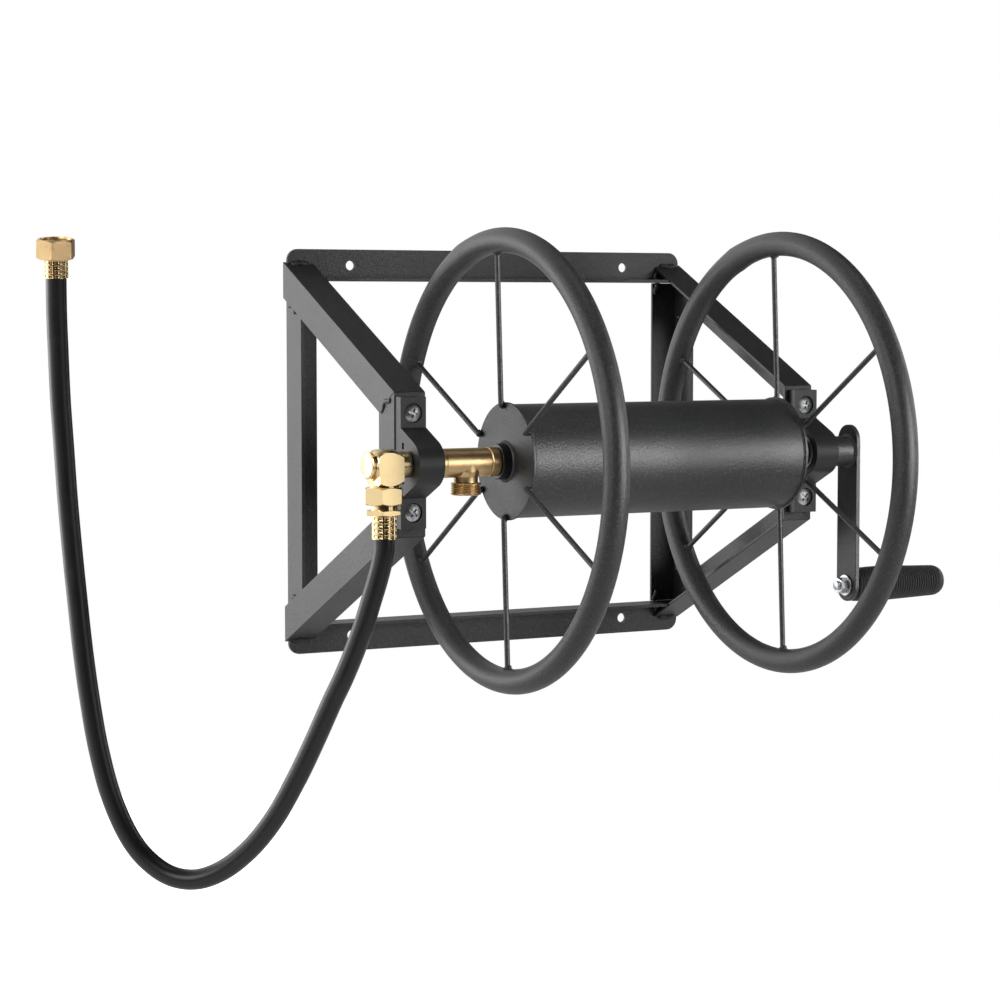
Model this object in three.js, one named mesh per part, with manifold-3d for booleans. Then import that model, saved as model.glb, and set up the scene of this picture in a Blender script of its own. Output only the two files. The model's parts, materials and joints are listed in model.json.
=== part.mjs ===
// Wall-mounted garden hose reel: an angle-iron wall frame with two bent side
// brackets, a drum between two spoked rings turning in two plastic bearings,
// a brass water swivel with a leader hose on the left, a crank on the right.
// Millimetres. Origin: midway between the two upper wall bolts, on the wall
// plane. +X to the crank side, -Y away from the wall, +Z up.
import * as THREE from 'three';
import { mergeVertices } from 'three/addons/utils/BufferGeometryUtils.js';
import Module from 'manifold-3d';

const wasm = await Module();
wasm.setup();

// ---- Driving dimensions -------------------------------------------------

const gap = 0.3;                 // left between pieces that touch or are welded

// wall frame, from angle iron
const frameWidth = 430;
const frameHeight = 380;
const angleLeg = 30;
const angleThickness = 3;
const postDepth = 33;
const railCornerRadius = 11;
const wallBoltSpan = 300;
const wallBoltInset = 15;
const wallBoltHole = 9;
const ledgeClearance = 1;        // ledge of a rail to the bracket's flange

// side brackets
const bracketInset = 12;         // bracket's root inside the rail's outer edge
const bracketReach = 231;        // wall to the front face of the front strap
const strapHeight = 126;         // between the two front bends

// bearings
const bearingWidth = 24.5;
const bearingInset = 1;          // from the bracket's outer face
const bearingPadHeight = 26.5;
const bearingPadThickness = 10;
const bearingHalfHeight = 57;
const bearingNoseRadius = 21;
const bearingAxisHeight = 25;    // strap face to axle centre line
const bearingScrewSpan = 86;
const bearingScrewHole = 6.5;
const bearingScrewShank = 5.8;
const screwHeadDiameter = 16;
const screwHeadHeight = 3.4;
const screwRecessDiameter = 17;
const screwRecessDepth = 3;
const bearingNutAcross = 10;
const bearingNutHeight = 5;

// reel
const axleRise = 2;              // axle centre line above the middle of the frame
const journalDiameter = 18;
const runningGap = 0.3;          // radial, journal in its bearing
const leftRingClearance = 66.8;  // bearing's inner face to the ring's plane
const rightRingClearance = 28.8;
const ringRadius = 192;          // to the centre line of the ring's tube
const ringTube = 22.2;
const ringSides = 48;            // a whole number for each spoke
const spokeDiameter = 4.8;
const spokeCount = 6;
const spokeTilt = 3;             // degrees off vertical at rest
const spokeOverlap = 4.5;        // spoke end laid on the disc, inside its rim
const discDiameter = 103;
const discThickness = 2.5;
const drumDiameter = 99.5;
const drumWall = 1.6;

const hoseThread = 26.4;         // garden hose thread, on the outlet and in the nuts

// water tee on the left journal
const teeBodyDiameter = 25.6;
const teeBodyEnd = 7;            // end of the tee's body to the ring's plane
const teeRibWidth = 8;
const teeWaterway = 13;
const outletOffset = 36;         // outlet centre line to the ring's plane
const outletNeckDiameter = 21;
const outletThreadLength = 10.5;
const outletReach = 28;
const collarDiameter = 31;
const stubLength = 8;            // tee's stub inside the drum

// swivel elbow
const elbowWidth = 26;
const elbowTop = 13.5;           // above the axle line
const elbowBottom = 18.5;        // below the axle line
const elbowSocketWall = 2.2;
const elbowSocketLength = 9;
const elbowChamfer = 5;
const capDiameter = 24;
const capThickness = 3.4;
const clipRoomGap = 0.4;         // round the snap ring, under the end cap
const clipRoomDepth = 6;
const clipThickness = 1.2;
const clipStandout = 1.1;        // snap ring beyond the journal
const clipGrooveDepth = 0.8;
const sealSection = 2;
const swivelPort = 8;            // cross hole between tee and elbow

// hose couplings
const inletNutWall = 2.3;        // across flats over the thread, each side
const inletNutHeight = 15;
const tapNutWall = 2;
const tapNutHeight = 17;
const nutLip = 3;
const tailCollarHeight = 2;
const tailNeckDiameter = 17;
const hoseWasherHole = 11;
const hoseWasherThickness = 3;
const tailShoulderDiameter = 23;
const tailShoulderHeight = 4;
const tailFlangeAcross = 29;
const tailFlangeHeight = 4.6;
const ferruleDiameter = 21;
const inletFerruleLength = 20;
const tapFerruleLength = 16;
const ferruleWall = 0.9;
const tailBarbDiameter = 12;
const tailBore = 9;
const hoseDiameter = 18;

// crank
const armWidth = 30;
const armThickness = 4.5;
const armTop = 24.5;             // arm's end above the axle line
const armBottom = 15;            // arm's end below the grip's bolt
const crankThrow = 126;
const hubLength = 24;
const hubDiameter = 28;
const thrustWasherDiameter = 30;
const thrustWasherThickness = 1.5;
const axleShoulderDiameter = 24;
const crankBoltDiameter = 8;
const crankBoltHeadDiameter = 14;
const crankBoltHeadHeight = 5;
const crankNutAcross = 13;
const crankNutHeight = 7;
const crankWasherDiameter = 20;
const crankWasherThickness = 1.6;
const gripDiameter = 33;
const gripLength = 102;
const gripPlay = 1.2;            // along the bolt, arm to grip

// leader hose: centre line from the end of the lower ferrule, chosen by hand
const hoseRoute = [
  [0, 0, 0], [0, 0, -8], [-1.5, 1.5, -20], [-4.5, 4.5, -36], [-8.5, 8, -53], [-12.5, 11.5, -70],
  [-17, 15.5, -87],
  [-22, 20, -104], [-28, 25, -122], [-34, 31, -139], [-46, 42, -174.5],
  [-59, 53.5, -210], [-74.5, 67.5, -246], [-91, 82.5, -273], [-110, 100, -293], [-128, 116, -301.5],
  [-145, 131.5, -299], [-160.5, 145.5, -286], [-172, 155.5, -268], [-184, 167, -234.5],
  [-193, 175.5, -191], [-199, 180.5, -147], [-203.5, 184.5, -103], [-207, 187.5, -59],
  [-210.5, 189.5, -15], [-214, 190, 29], [-217, 189.5, 73], [-220.5, 187.5, 117],
  [-223.5, 183.5, 160], [-225.5, 180.5, 190], [-227.5, 175.5, 222.5],
];
const hoseSides = 10;
const hoseSteps = 40;

// ---- Places worked out from the driving dimensions ---------------------

const railTop = wallBoltInset;
const railBottom = wallBoltInset - frameHeight;
const frameMiddle = (railTop + railBottom) / 2;
const bracketOuter = frameWidth / 2 + gap + angleThickness;
const flangeInner = bracketOuter - angleLeg;
const axleY = -(bracketReach + gap + bearingAxisHeight);
const axleZ = frameMiddle + axleRise;
const bearingX = bracketOuter - bearingInset - bearingWidth / 2;
const journalHole = journalDiameter + 2 * runningGap;
const elbowSocketDiameter = journalHole + 2 * elbowSocketWall;
const clipOuterDiameter = journalDiameter + 2 * clipStandout;
const clipRoomDiameter = clipOuterDiameter + 2 * clipRoomGap;
const inletNutAcross = hoseThread + 2 * inletNutWall;
const tapNutAcross = hoseThread + 2 * tapNutWall;
const spigotDiameter = hoseThread - 1;
const hoseWasherDiameter = hoseThread - 1.4;
const tailCollarDiameter = hoseThread - 3.4;
const leftRingX = leftRingClearance - (bearingX - bearingWidth / 2);
const rightRingX = bearingX - bearingWidth / 2 - rightRingClearance;
const gripZ = -crankThrow;

// ---- Solids -------------------------------------------------------------

// A closed three.js geometry as a solid, whichever way round its faces came.
function solid(geometry) {
  const bare = geometry.clone();
  for (const name of Object.keys(bare.attributes)) {
    if (name !== 'position') bare.deleteAttribute(name);
  }
  const merged = mergeVertices(bare, 1e-4);
  const points = merged.attributes.position.array;
  const corners = [];
  for (let i = 0; i < merged.index.count; i += 3) {
    const [a, b, c] = merged.index.array.slice(i, i + 3);
    if (a !== b && b !== c && c !== a) corners.push([a, b, c]);
  }
  const at = (i) => new THREE.Vector3().fromArray(points, 3 * i);
  const volume = corners.reduce((sum, [a, b, c]) => sum + at(a).dot(at(b).cross(at(c))), 0);
  const turned = volume < 0 ? corners.map(([a, b, c]) => [a, c, b]) : corners;
  return new wasm.Manifold(new wasm.Mesh({
    numProp: 3,
    vertProperties: Float32Array.from(points),
    triVerts: Uint32Array.from(turned.flat()),
  }));
}

function geometryOf(shape) {
  const mesh = shape.getMesh();
  const geometry = new THREE.BufferGeometry();
  geometry.setAttribute('position', new THREE.BufferAttribute(mesh.vertProperties, 3));
  geometry.setIndex(new THREE.BufferAttribute(mesh.triVerts, 1));
  geometry.computeVertexNormals();
  return geometry;
}

const join = (first, ...others) => others.reduce((sum, next) => sum.add(next), first);
const cut = (first, ...others) => others.reduce((rest, next) => rest.subtract(next), first);

function box(low, high) {
  const size = high.map((h, i) => h - low[i]);
  const geometry = new THREE.BoxGeometry(...size);
  geometry.translate(...low.map((l, i) => l + size[i] / 2));
  return solid(geometry);
}

// Turned about X or Z: profile is [[radius, along], ...], closed on the axis.
function turned(profile, axis, sides = 20) {
  const geometry = new THREE.LatheGeometry(profile.map(([r, a]) => new THREE.Vector2(r, a)), sides);
  if (axis === 'x') geometry.rotateZ(-Math.PI / 2);
  if (axis === 'z') geometry.rotateX(Math.PI / 2);
  return solid(geometry);
}

// A round bar along an axis from one place to another, centred on the origin.
function bar(axis, diameter, from, to, sides = 20) {
  const geometry = new THREE.CylinderGeometry(diameter / 2, diameter / 2, to - from, sides);
  geometry.translate(0, (from + to) / 2, 0);
  if (axis === 'x') geometry.rotateZ(-Math.PI / 2);
  if (axis === 'z') geometry.rotateX(Math.PI / 2);
  return solid(geometry);
}

const pipe = (axis, outer, inner, from, to, sides = 20) => cut(
  bar(axis, outer, from, to, sides), bar(axis, inner, from - 1, to + 1, sides),
);

// A hexagonal bar, given across its flats.
function hexBar(axis, across, from, to, spin = 0) {
  const corner = across / Math.sqrt(3);
  const geometry = new THREE.CylinderGeometry(corner, corner, to - from, 6);
  geometry.rotateY(spin);
  geometry.translate(0, (from + to) / 2, 0);
  if (axis === 'x') geometry.rotateZ(-Math.PI / 2);
  if (axis === 'z') geometry.rotateX(Math.PI / 2);
  return solid(geometry);
}

// An outline in the Y-Z plane, [[y, z], ...], carried along X.
function sidePlate(outline, fromX, toX) {
  const shape = new THREE.Shape(outline.map(([y, z]) => new THREE.Vector2(y, z)));
  const geometry = new THREE.ExtrudeGeometry(shape, { depth: toX - fromX, bevelEnabled: false });
  geometry.applyMatrix4(new THREE.Matrix4().set(0, 0, 1, fromX, 1, 0, 0, 0, 0, 1, 0, 0, 0, 0, 0, 1));
  return solid(geometry);
}

// ---- Materials ----------------------------------------------------------

const finish = (color, roughness, metalness) => new THREE.MeshStandardMaterial({
  color, roughness, metalness, flatShading: true,
});
const powderCoat = finish(0x26272a, 0.55, 0.1);
const polishedBrass = finish(0xe0b04c, 0.2, 1);
const satinBrass = finish(0xa5813f, 0.45, 1);
const zinc = finish(0xc9ccd0, 0.3, 1);
const blackPlastic = finish(0x1c1d20, 0.5, 0);
const blackRubber = finish(0x161618, 0.65, 0);
const gripRubber = finish(0x19191b, 0.7, 0);

function piece(parent, name, shape, material) {
  const mesh = new THREE.Mesh(geometryOf(shape), material);
  mesh.name = name;
  parent.add(mesh);
  return mesh;
}

// ---- Wall frame -----------------------------------------------------------

// A rail: wall leg with two rounded outer corners and two bolt holes, and a
// ledge along its inner edge that stops short of the brackets.
function rail(parent, name, up) {
  const half = frameWidth / 2;
  const outer = up > 0 ? railTop : railBottom;
  const inner = outer - up * angleLeg;
  const r = railCornerRadius;
  const outline = new THREE.Shape();
  outline.moveTo(-half, inner);
  outline.lineTo(half, inner);
  outline.lineTo(half, outer - up * r);
  outline.absarc(half - r, outer - up * r, r, 0, up * Math.PI / 2, up < 0);
  outline.lineTo(-half + r, outer);
  outline.absarc(-half + r, outer - up * r, r, up * Math.PI / 2, Math.PI, up < 0);
  const plate = new THREE.ExtrudeGeometry(outline, {
    depth: angleThickness, bevelEnabled: false, curveSegments: 3,
  });
  plate.rotateX(Math.PI / 2);
  const ledgeHalf = flangeInner - ledgeClearance;
  const ledge = box(
    [-ledgeHalf, -angleLeg, Math.min(inner, inner + up * angleThickness)],
    [ledgeHalf, -angleThickness / 2, Math.max(inner, inner + up * angleThickness)],
  );
  const holes = [-1, 1].map((side) => bar('y', wallBoltHole, -angleThickness - 1, 1)
    .translate(side * wallBoltSpan / 2, 0, outer - up * wallBoltInset));
  return piece(parent, name, cut(join(solid(plate), ledge), ...holes), powderCoat);
}

// The bracket's outer line from the top rail round the two bends to the lower
// rail, in the Y-Z plane, and the same line moved in by a distance.
const bracketLine = [
  [0, railTop - bracketInset],
  [-bracketReach, frameMiddle + strapHeight / 2],
  [-bracketReach, frameMiddle - strapHeight / 2],
  [0, railBottom + bracketInset],
];

function movedIn(line, distance) {
  const sides = line.slice(1).map((end, i) => {
    const [y0, z0] = line[i];
    const length = Math.hypot(end[0] - y0, end[1] - z0);
    const along = [(end[0] - y0) / length, (end[1] - z0) / length];
    const inward = [-along[1], along[0]];
    return { at: [y0 + inward[0] * distance, z0 + inward[1] * distance], along };
  });
  const cross = (a, b) => {
    const det = a.along[0] * b.along[1] - a.along[1] * b.along[0];
    const t = ((b.at[0] - a.at[0]) * b.along[1] - (b.at[1] - a.at[1]) * b.along[0]) / det;
    return [a.at[0] + a.along[0] * t, a.at[1] + a.along[1] * t];
  };
  const wall = { at: [0, 0], along: [0, 1] };
  return [cross(sides[0], wall), cross(sides[0], sides[1]), cross(sides[1], sides[2]),
    cross(sides[2], wall)];
}

// One straight stretch of the bracket as a strip, with a small gap at a bend.
function strip(index, depth, back) {
  const outer = [...bracketLine];
  const inner = movedIn(bracketLine, depth);
  const [a, b, c, d] = [outer[index], outer[index + 1], inner[index + 1], inner[index]];
  const length = Math.hypot(b[0] - a[0], b[1] - a[1]);
  const step = [(b[0] - a[0]) / length * gap / 2, (b[1] - a[1]) / length * gap / 2];
  const moved = (p, side) => [p[0] + side * step[0], p[1] + side * step[1]];
  const shape = [moved(a, 1), moved(b, -1), moved(c, -1), moved(d, 1)];
  if (back < 0) {
    const slope = (b[1] - a[1]) / (b[0] - a[0]);
    const atBack = (p) => (Math.abs(p[0]) < -back ? [back, p[1] + slope * (back - p[0])] : p);
    return shape.map(atBack);
  }
  return shape.map(([y, z]) => [Math.min(y, 0), z]);
}

// A stretch of bracket: side leg outside the post, flange turned inwards.
function bracketBar(parent, name, side, index, screwZ = []) {
  const flangeBack = -(angleThickness + gap);
  const sideLeg = sidePlate(strip(index, angleLeg, 0), bracketOuter - angleThickness, bracketOuter);
  const flange = sidePlate(strip(index, angleThickness, flangeBack), flangeInner, bracketOuter);
  const holes = screwZ.map((z) => bar('y', bearingScrewHole, -bracketReach - 1, 1 - bracketReach
    + angleThickness, 12).translate(bearingX, 0, z));
  const shape = cut(join(sideLeg, flange), ...holes);
  return piece(parent, name, side < 0 ? shape.mirror([1, 0, 0]) : shape, powderCoat);
}

// A post: angle iron between the rails, coped under the bracket's flanges.
function post(parent, name, side) {
  const half = frameWidth / 2;
  const low = railBottom + angleLeg + gap;
  const high = railTop - angleLeg - gap;
  const wallLeg = box([half - angleLeg, -angleThickness, low], [half, 0, high]);
  const sideLeg = box([half - angleThickness, -postDepth, low], [half, 0, high]);
  const under = movedIn(bracketLine, angleThickness + gap);
  const beyond = 2 * frameHeight;
  const coped = sidePlate([...under, [beyond, under[3][1]], [beyond, under[0][1]]],
    half - angleLeg - 1, half + 1);
  const shape = join(wallLeg, sideLeg).intersect(coped);
  return piece(parent, name, side < 0 ? shape.mirror([1, 0, 0]) : shape, powderCoat);
}

// ---- Bearings ---------------------------------------------------------------

// Plastic pillow block seen from the side: two screw pads on the strap and a
// nose round the axle, joined by lines that touch the nose's circle.
function bearing(parent, name, x) {
  const back = bearingAxisHeight;
  const padFront = back - bearingPadThickness;
  const padEdge = bearingHalfHeight - bearingPadHeight;
  const reach = Math.hypot(padFront, padEdge);
  const touch = Math.atan2(padEdge, padFront) + Math.acos(bearingNoseRadius / reach);
  const outline = new THREE.Shape();
  outline.moveTo(back, -bearingHalfHeight);
  outline.lineTo(back, bearingHalfHeight);
  outline.lineTo(padFront, bearingHalfHeight);
  outline.lineTo(padFront, padEdge);
  outline.absarc(0, 0, bearingNoseRadius, touch, 2 * Math.PI - touch, false);
  outline.lineTo(padFront, -padEdge);
  outline.lineTo(padFront, -bearingHalfHeight);
  const body = new THREE.ExtrudeGeometry(outline, {
    depth: bearingWidth, bevelEnabled: false, curveSegments: 7,
  });
  body.applyMatrix4(new THREE.Matrix4().set(
    0, 0, 1, -bearingWidth / 2, 1, 0, 0, 0, 0, 1, 0, 0, 0, 0, 0, 1,
  ));
  const bore = bar('x', journalHole, -bearingWidth, bearingWidth);
  const screwHoles = [-1, 1].flatMap((up) => [
    bar('y', bearingScrewHole, 0, back + 1, 12),
    bar('y', screwRecessDiameter, padFront - 2, padFront + screwRecessDepth, 16),
  ].map((hole) => hole.translate(0, 0, up * bearingScrewSpan / 2)));
  const mesh = piece(parent, name, cut(solid(body), bore, ...screwHoles), blackPlastic);
  mesh.position.set(x, axleY, axleZ);
  return mesh;
}

// A truss-head screw through the bearing's pad and the strap, and its nut.
function bearingScrew(parent, name, x, z) {
  const seat = screwRecessDepth - bearingPadThickness - gap;
  const tip = angleThickness + bearingNutHeight + 3;
  const screw = turned([
    [0, seat - screwHeadHeight], [screwHeadDiameter * 0.3, seat - screwHeadHeight * 0.85],
    [screwHeadDiameter / 2, seat - screwHeadHeight * 0.3], [screwHeadDiameter / 2, seat],
    [bearingScrewShank / 2, seat], [bearingScrewShank / 2, tip], [0, tip],
  ], 'y', 14);
  piece(parent, `${name}_screw`, screw, zinc).position.set(x, -bracketReach, z);
  const nut = cut(
    hexBar('y', bearingNutAcross, 0, bearingNutHeight),
    bar('y', bearingScrewShank + 2 * gap, -1, bearingNutHeight + 1, 12),
  );
  piece(parent, `${name}_nut`, nut, zinc)
    .position.set(x, -bracketReach + angleThickness + gap, z);
}

// ---- Reel, drawn round the axle line: its group stands on that line --------

function ring(parent, name, x) {
  const shape = solid(new THREE.TorusGeometry(ringRadius, ringTube / 2, 8, ringSides))
    .rotate([0, 90, 0]);
  const mesh = piece(parent, name, shape, powderCoat);
  mesh.position.x = x;
  mesh.rotation.x = -THREE.MathUtils.degToRad(spokeTilt);
}

function spokes(parent, sideName, x) {
  const inner = discDiameter / 2 - spokeOverlap;
  const outer = ringRadius - ringTube / 2 - gap;
  for (let i = 0; i < spokeCount; i += 1) {
    const mesh = piece(parent, `${sideName}_spoke_${i + 1}`, bar('z', spokeDiameter, inner, outer, 10),
      powderCoat);
    mesh.position.x = x;
    mesh.rotation.x = THREE.MathUtils.degToRad(360 / spokeCount * i - spokeTilt);
  }
}

// Welded drum: a tube between two end discs that stand just inside the rings.
function drum(parent) {
  const faceInset = spokeDiameter / 2 + gap;
  const leftFace = leftRingX + faceInset;
  const rightFace = rightRingX - faceInset;
  const hole = journalHole;
  piece(parent, 'left_drum_disc', pipe('x', discDiameter, hole, leftFace, leftFace + discThickness,
    40), powderCoat);
  piece(parent, 'right_drum_disc', pipe('x', discDiameter, hole, rightFace - discThickness,
    rightFace, 40), powderCoat);
  piece(parent, 'drum_tube', pipe('x', drumDiameter, drumDiameter - 2 * drumWall,
    leftFace + discThickness + gap, rightFace - discThickness - gap, 40), powderCoat);
}

// Brass tee: a journal through the left bearing into the elbow, a body with
// the hose outlet, and a stub through the drum's disc. Water comes in by cross
// holes in the journal and leaves by the outlet.
const teeLeft = gap - (bearingX - bearingWidth / 2);
const teeRight = leftRingX - teeBodyEnd;
const leftDiscInner = leftRingX + spokeDiameter / 2 + gap + discThickness;
const elbowRight = -(bearingX + bearingWidth / 2) - 1.5;
const blockRight = elbowRight - elbowSocketLength;
const blockLeft = blockRight - elbowWidth;
const outletCentre = (blockLeft + blockRight) / 2;
const clipRoomEnd = blockLeft + clipRoomDepth;
const clipX = clipRoomEnd - gap - clipThickness;
const journalEnd = clipX - 1.4;
const sealPlaces = [-1, 1].map((side) => outletCentre
  + side * (swivelPort / 2 + sealSection / 2 + 0.5));

const groove = (x, width, depth) => pipe('x', journalDiameter + 2, journalDiameter - 2 * depth,
  x - width / 2, x + width / 2);

function tee(parent) {
  const ribStart = teeRight - teeRibWidth;
  const body = turned([
    [0, journalEnd], [journalDiameter / 2 - 0.6, journalEnd], [journalDiameter / 2, journalEnd + 0.6],
    [journalDiameter / 2, teeLeft], [teeBodyDiameter / 2, teeLeft],
    [teeBodyDiameter / 2, ribStart - 2], [teeBodyDiameter / 2 - 0.8, ribStart - 1.5],
    [teeBodyDiameter / 2 - 0.8, ribStart - 0.5], [teeBodyDiameter / 2, ribStart],
    [teeBodyDiameter / 2, teeRight], [journalDiameter / 2, teeRight],
    [journalDiameter / 2, leftDiscInner + stubLength], [0, leftDiscInner + stubLength],
  ], 'x');
  const outletX = leftRingX - outletOffset;
  const outlet = join(
    bar('z', outletNeckDiameter, -outletReach + 1, 0),
    bar('z', hoseThread, -outletReach, -outletReach + outletThreadLength),
  ).translate(outletX, 0, 0);
  const bore = journalDiameter - 2 * (sealSection + 1.6);
  const waterway = bar('x', bore, journalEnd - 1, outletX + teeWaterway / 2);
  const down = bar('z', teeWaterway, -outletReach - 1, 0).translate(outletX, 0, 0);
  const crossHole = bar('z', swivelPort * 0.75, -journalDiameter, journalDiameter, 16)
    .translate(outletCentre, 0, 0);
  const grooves = sealPlaces.map((x) => groove(x, sealSection + 0.6, sealSection - 0.2));
  grooves.push(groove(outletCentre, swivelPort, 1));
  grooves.push(groove(clipX + clipThickness / 2, clipThickness + gap, clipGrooveDepth));
  piece(parent, 'water_tee', cut(join(body, outlet), waterway, down, crossHole, ...grooves),
    satinBrass);
}

// Two O-rings seal the journal in the elbow, each in its groove, and a snap
// ring behind the end cap holds the elbow on the journal.
function journalRings(parent) {
  const bottom = journalDiameter - 2 * sealSection + 0.8;
  sealPlaces.forEach((x, i) => {
    piece(parent, `swivel_o_ring_${i + 1}`, pipe('x', journalDiameter + 0.1, bottom,
      x - sealSection / 2, x + sealSection / 2), blackRubber);
  });
  const inner = journalDiameter - 2 * clipGrooveDepth + 2 * 0.15;
  piece(parent, 'swivel_snap_ring', pipe('x', clipOuterDiameter, inner, clipX + 0.1,
    clipX + clipThickness), zinc);
}

function collar(parent) {
  piece(parent, 'tee_collar', pipe('x', collarDiameter, journalHole, teeRight + gap,
    leftRingX + spokeDiameter / 2), blackRubber);
}

// Crank: a turned axle through the right bearing, a flat arm welded to its
// hub, and a ribbed grip that spins on its bolt.
const rightDiscOuter = rightRingX - spokeDiameter / 2 - gap;
const rightBearingInner = bearingX - bearingWidth / 2;
const rightBearingOuter = bearingX + bearingWidth / 2;
const washerX = rightBearingInner - gap - thrustWasherThickness;
const hubX = rightBearingOuter + gap;
const armX = hubX + hubLength;
const axleEnd = armX - gap;

function crank(parent) {
  const stub = rightDiscOuter - discThickness - 6;
  const axle = turned([
    [0, stub], [journalDiameter / 2, stub], [journalDiameter / 2, rightDiscOuter + gap],
    [axleShoulderDiameter / 2, rightDiscOuter + gap], [axleShoulderDiameter / 2, washerX - gap],
    [journalDiameter / 2, washerX - gap], [journalDiameter / 2, axleEnd], [0, axleEnd],
  ], 'x');
  piece(parent, 'crank_axle', axle, powderCoat);
  piece(parent, 'thrust_washer', pipe('x', thrustWasherDiameter, journalHole, washerX,
    washerX + thrustWasherThickness), zinc);

  const half = armWidth / 2;
  const outline = new THREE.Shape();
  outline.moveTo(half, armTop - half);
  outline.absarc(0, armTop - half, half, 0, Math.PI, false);
  outline.absarc(0, gripZ - armBottom + half, half, Math.PI, 2 * Math.PI, false);
  const plate = new THREE.ExtrudeGeometry(outline, {
    depth: armThickness, bevelEnabled: false, curveSegments: 6,
  });
  plate.applyMatrix4(new THREE.Matrix4().set(0, 0, 1, armX, 1, 0, 0, 0, 0, 1, 0, 0, 0, 0, 0, 1));
  const hub = bar('x', hubDiameter, hubX, armX + 1);
  const axleHole = bar('x', journalHole, hubX - 1, armX);
  const boltHole = bar('x', crankBoltDiameter + 2 * gap, armX - 1, armX + armThickness + 1)
    .translate(0, 0, gripZ);
  piece(parent, 'crank_arm', cut(join(solid(plate), hub), axleHole, boltHole), powderCoat);
}

function crankBolt(parent) {
  const armOuter = armX + armThickness;
  const gripStart = armOuter + gripPlay;
  const headX = gripStart + gripLength - crankBoltHeadHeight - 3;
  const washer = armX - gap - crankWasherThickness;
  const nutX = washer - gap - crankNutHeight;
  const tip = nutX - 3;
  const bolt = join(
    bar('x', crankBoltDiameter, tip, headX + 1),
    bar('x', crankBoltHeadDiameter, headX, headX + crankBoltHeadHeight),
  );
  piece(parent, 'crank_bolt', bolt, zinc);
  piece(parent, 'crank_bolt_washer', pipe('x', crankWasherDiameter, crankBoltDiameter + 2 * gap,
    washer, washer + crankWasherThickness), zinc);
  piece(parent, 'crank_bolt_nut', cut(
    hexBar('x', crankNutAcross, nutX, nutX + crankNutHeight),
    bar('x', crankBoltDiameter + 2 * gap, nutX - 1, nutX + crankNutHeight + 1),
  ), zinc);

  const r = gripDiameter / 2;
  const end = gripStart + gripLength;
  const grip = turned([
    [0, gripStart], [r - 1.5, gripStart], [r, gripStart + 1.5], [r, end - 8], [r - 2.4, end - 2.4],
    [r - 8, end], [0, end],
  ], 'x');
  const bore = bar('x', crankBoltDiameter + 2 * gap, gripStart - 1, end + 1);
  const recess = bar('x', crankBoltHeadDiameter + 2, headX - gap, end + 1);
  piece(parent, 'crank_grip', cut(grip, bore, recess), gripRubber);
}

// ---- Swivel elbow, drawn round the axle line --------------------------------

// Stack of a coupling above the nut's lower face: lip, collar, washer, spigot.
const collarBase = nutLip + gap;
const washerBase = collarBase + tailCollarHeight + gap;
const spigotBase = washerBase + hoseWasherThickness + gap;
const inletNutTop = -elbowBottom - gap;
const spigotEnd = inletNutTop - inletNutHeight + spigotBase;

// Square brass block with turned corners, a socket for the tee's journal, a
// screwed end cap and a threaded spigot below.
function elbow(parent) {
  const half = elbowWidth / 2;
  const corner = half * Math.SQRT2;
  const square = box([-half, -half, -elbowBottom], [half, half, elbowTop]);
  const round = turned([
    [0, -elbowBottom], [half, -elbowBottom], [corner, -elbowBottom + elbowChamfer],
    [corner, elbowTop - elbowChamfer], [half, elbowTop], [0, elbowTop],
  ], 'z');
  const block = square.intersect(round).translate(outletCentre, 0, 0);
  const socket = bar('x', elbowSocketDiameter, blockRight - 2, elbowRight);
  const spigot = bar('z', spigotDiameter, spigotEnd, -elbowBottom + 2)
    .translate(outletCentre, 0, 0);
  const journalBore = bar('x', journalHole, clipRoomEnd - 1, elbowRight + 1);
  const clipRoom = bar('x', clipRoomDiameter, blockLeft - 1, clipRoomEnd);
  const port = bar('z', swivelPort, spigotEnd - 1, 0).translate(outletCentre, 0, 0);
  const mouth = bar('z', teeWaterway, spigotEnd - 1, -elbowBottom)
    .translate(outletCentre, 0, 0);
  piece(parent, 'swivel_elbow', cut(join(block, socket, spigot), journalBore, clipRoom, port, mouth),
    polishedBrass);

  const capBack = blockLeft - gap;
  const plugDiameter = clipRoomDiameter - 2 * gap;
  const cap = join(
    turned([
      [0, capBack - capThickness], [capDiameter / 2 - 1.4, capBack - capThickness],
      [capDiameter / 2, capBack - capThickness + 1.4], [capDiameter / 2, capBack], [0, capBack],
    ], 'x'),
    bar('x', plugDiameter, capBack - 1, journalEnd - 1),
  );
  piece(parent, 'elbow_end_cap', cap, polishedBrass);
}

// ---- Hose couplings, each drawn upwards from the end of its ferrule ---------

// Tail of a coupling: a barb in the hose, then for the inlet a hexagonal flange
// and a shoulder, then a neck through the nut's lip and a collar inside it.
function hoseTail(ferruleLength, nutBase, flanged) {
  const parts = [
    bar('z', tailBarbDiameter, gap, ferruleLength + gap + 1),
    bar('z', tailNeckDiameter, ferruleLength + gap, nutBase + collarBase + 1),
    bar('z', tailCollarDiameter, nutBase + collarBase, nutBase + collarBase + tailCollarHeight),
  ];
  if (flanged) {
    const flange = ferruleLength + gap;
    parts.push(hexBar('z', tailFlangeAcross, flange, flange + tailFlangeHeight));
    parts.push(bar('z', tailShoulderDiameter, flange + 1, nutBase - gap));
  }
  return cut(join(...parts), bar('z', tailBore, gap - 1, nutBase + washerBase + 1, 16));
}

// A coupling nut, open at its upper end, that turns on the tail's neck.
function couplingNut(across, height) {
  return cut(
    hexBar('z', across, 0, height, Math.PI / 6),
    bar('z', hoseThread, nutLip, height + 1),
    bar('z', tailNeckDiameter + 2 * gap, -1, nutLip + 1),
  );
}

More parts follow.
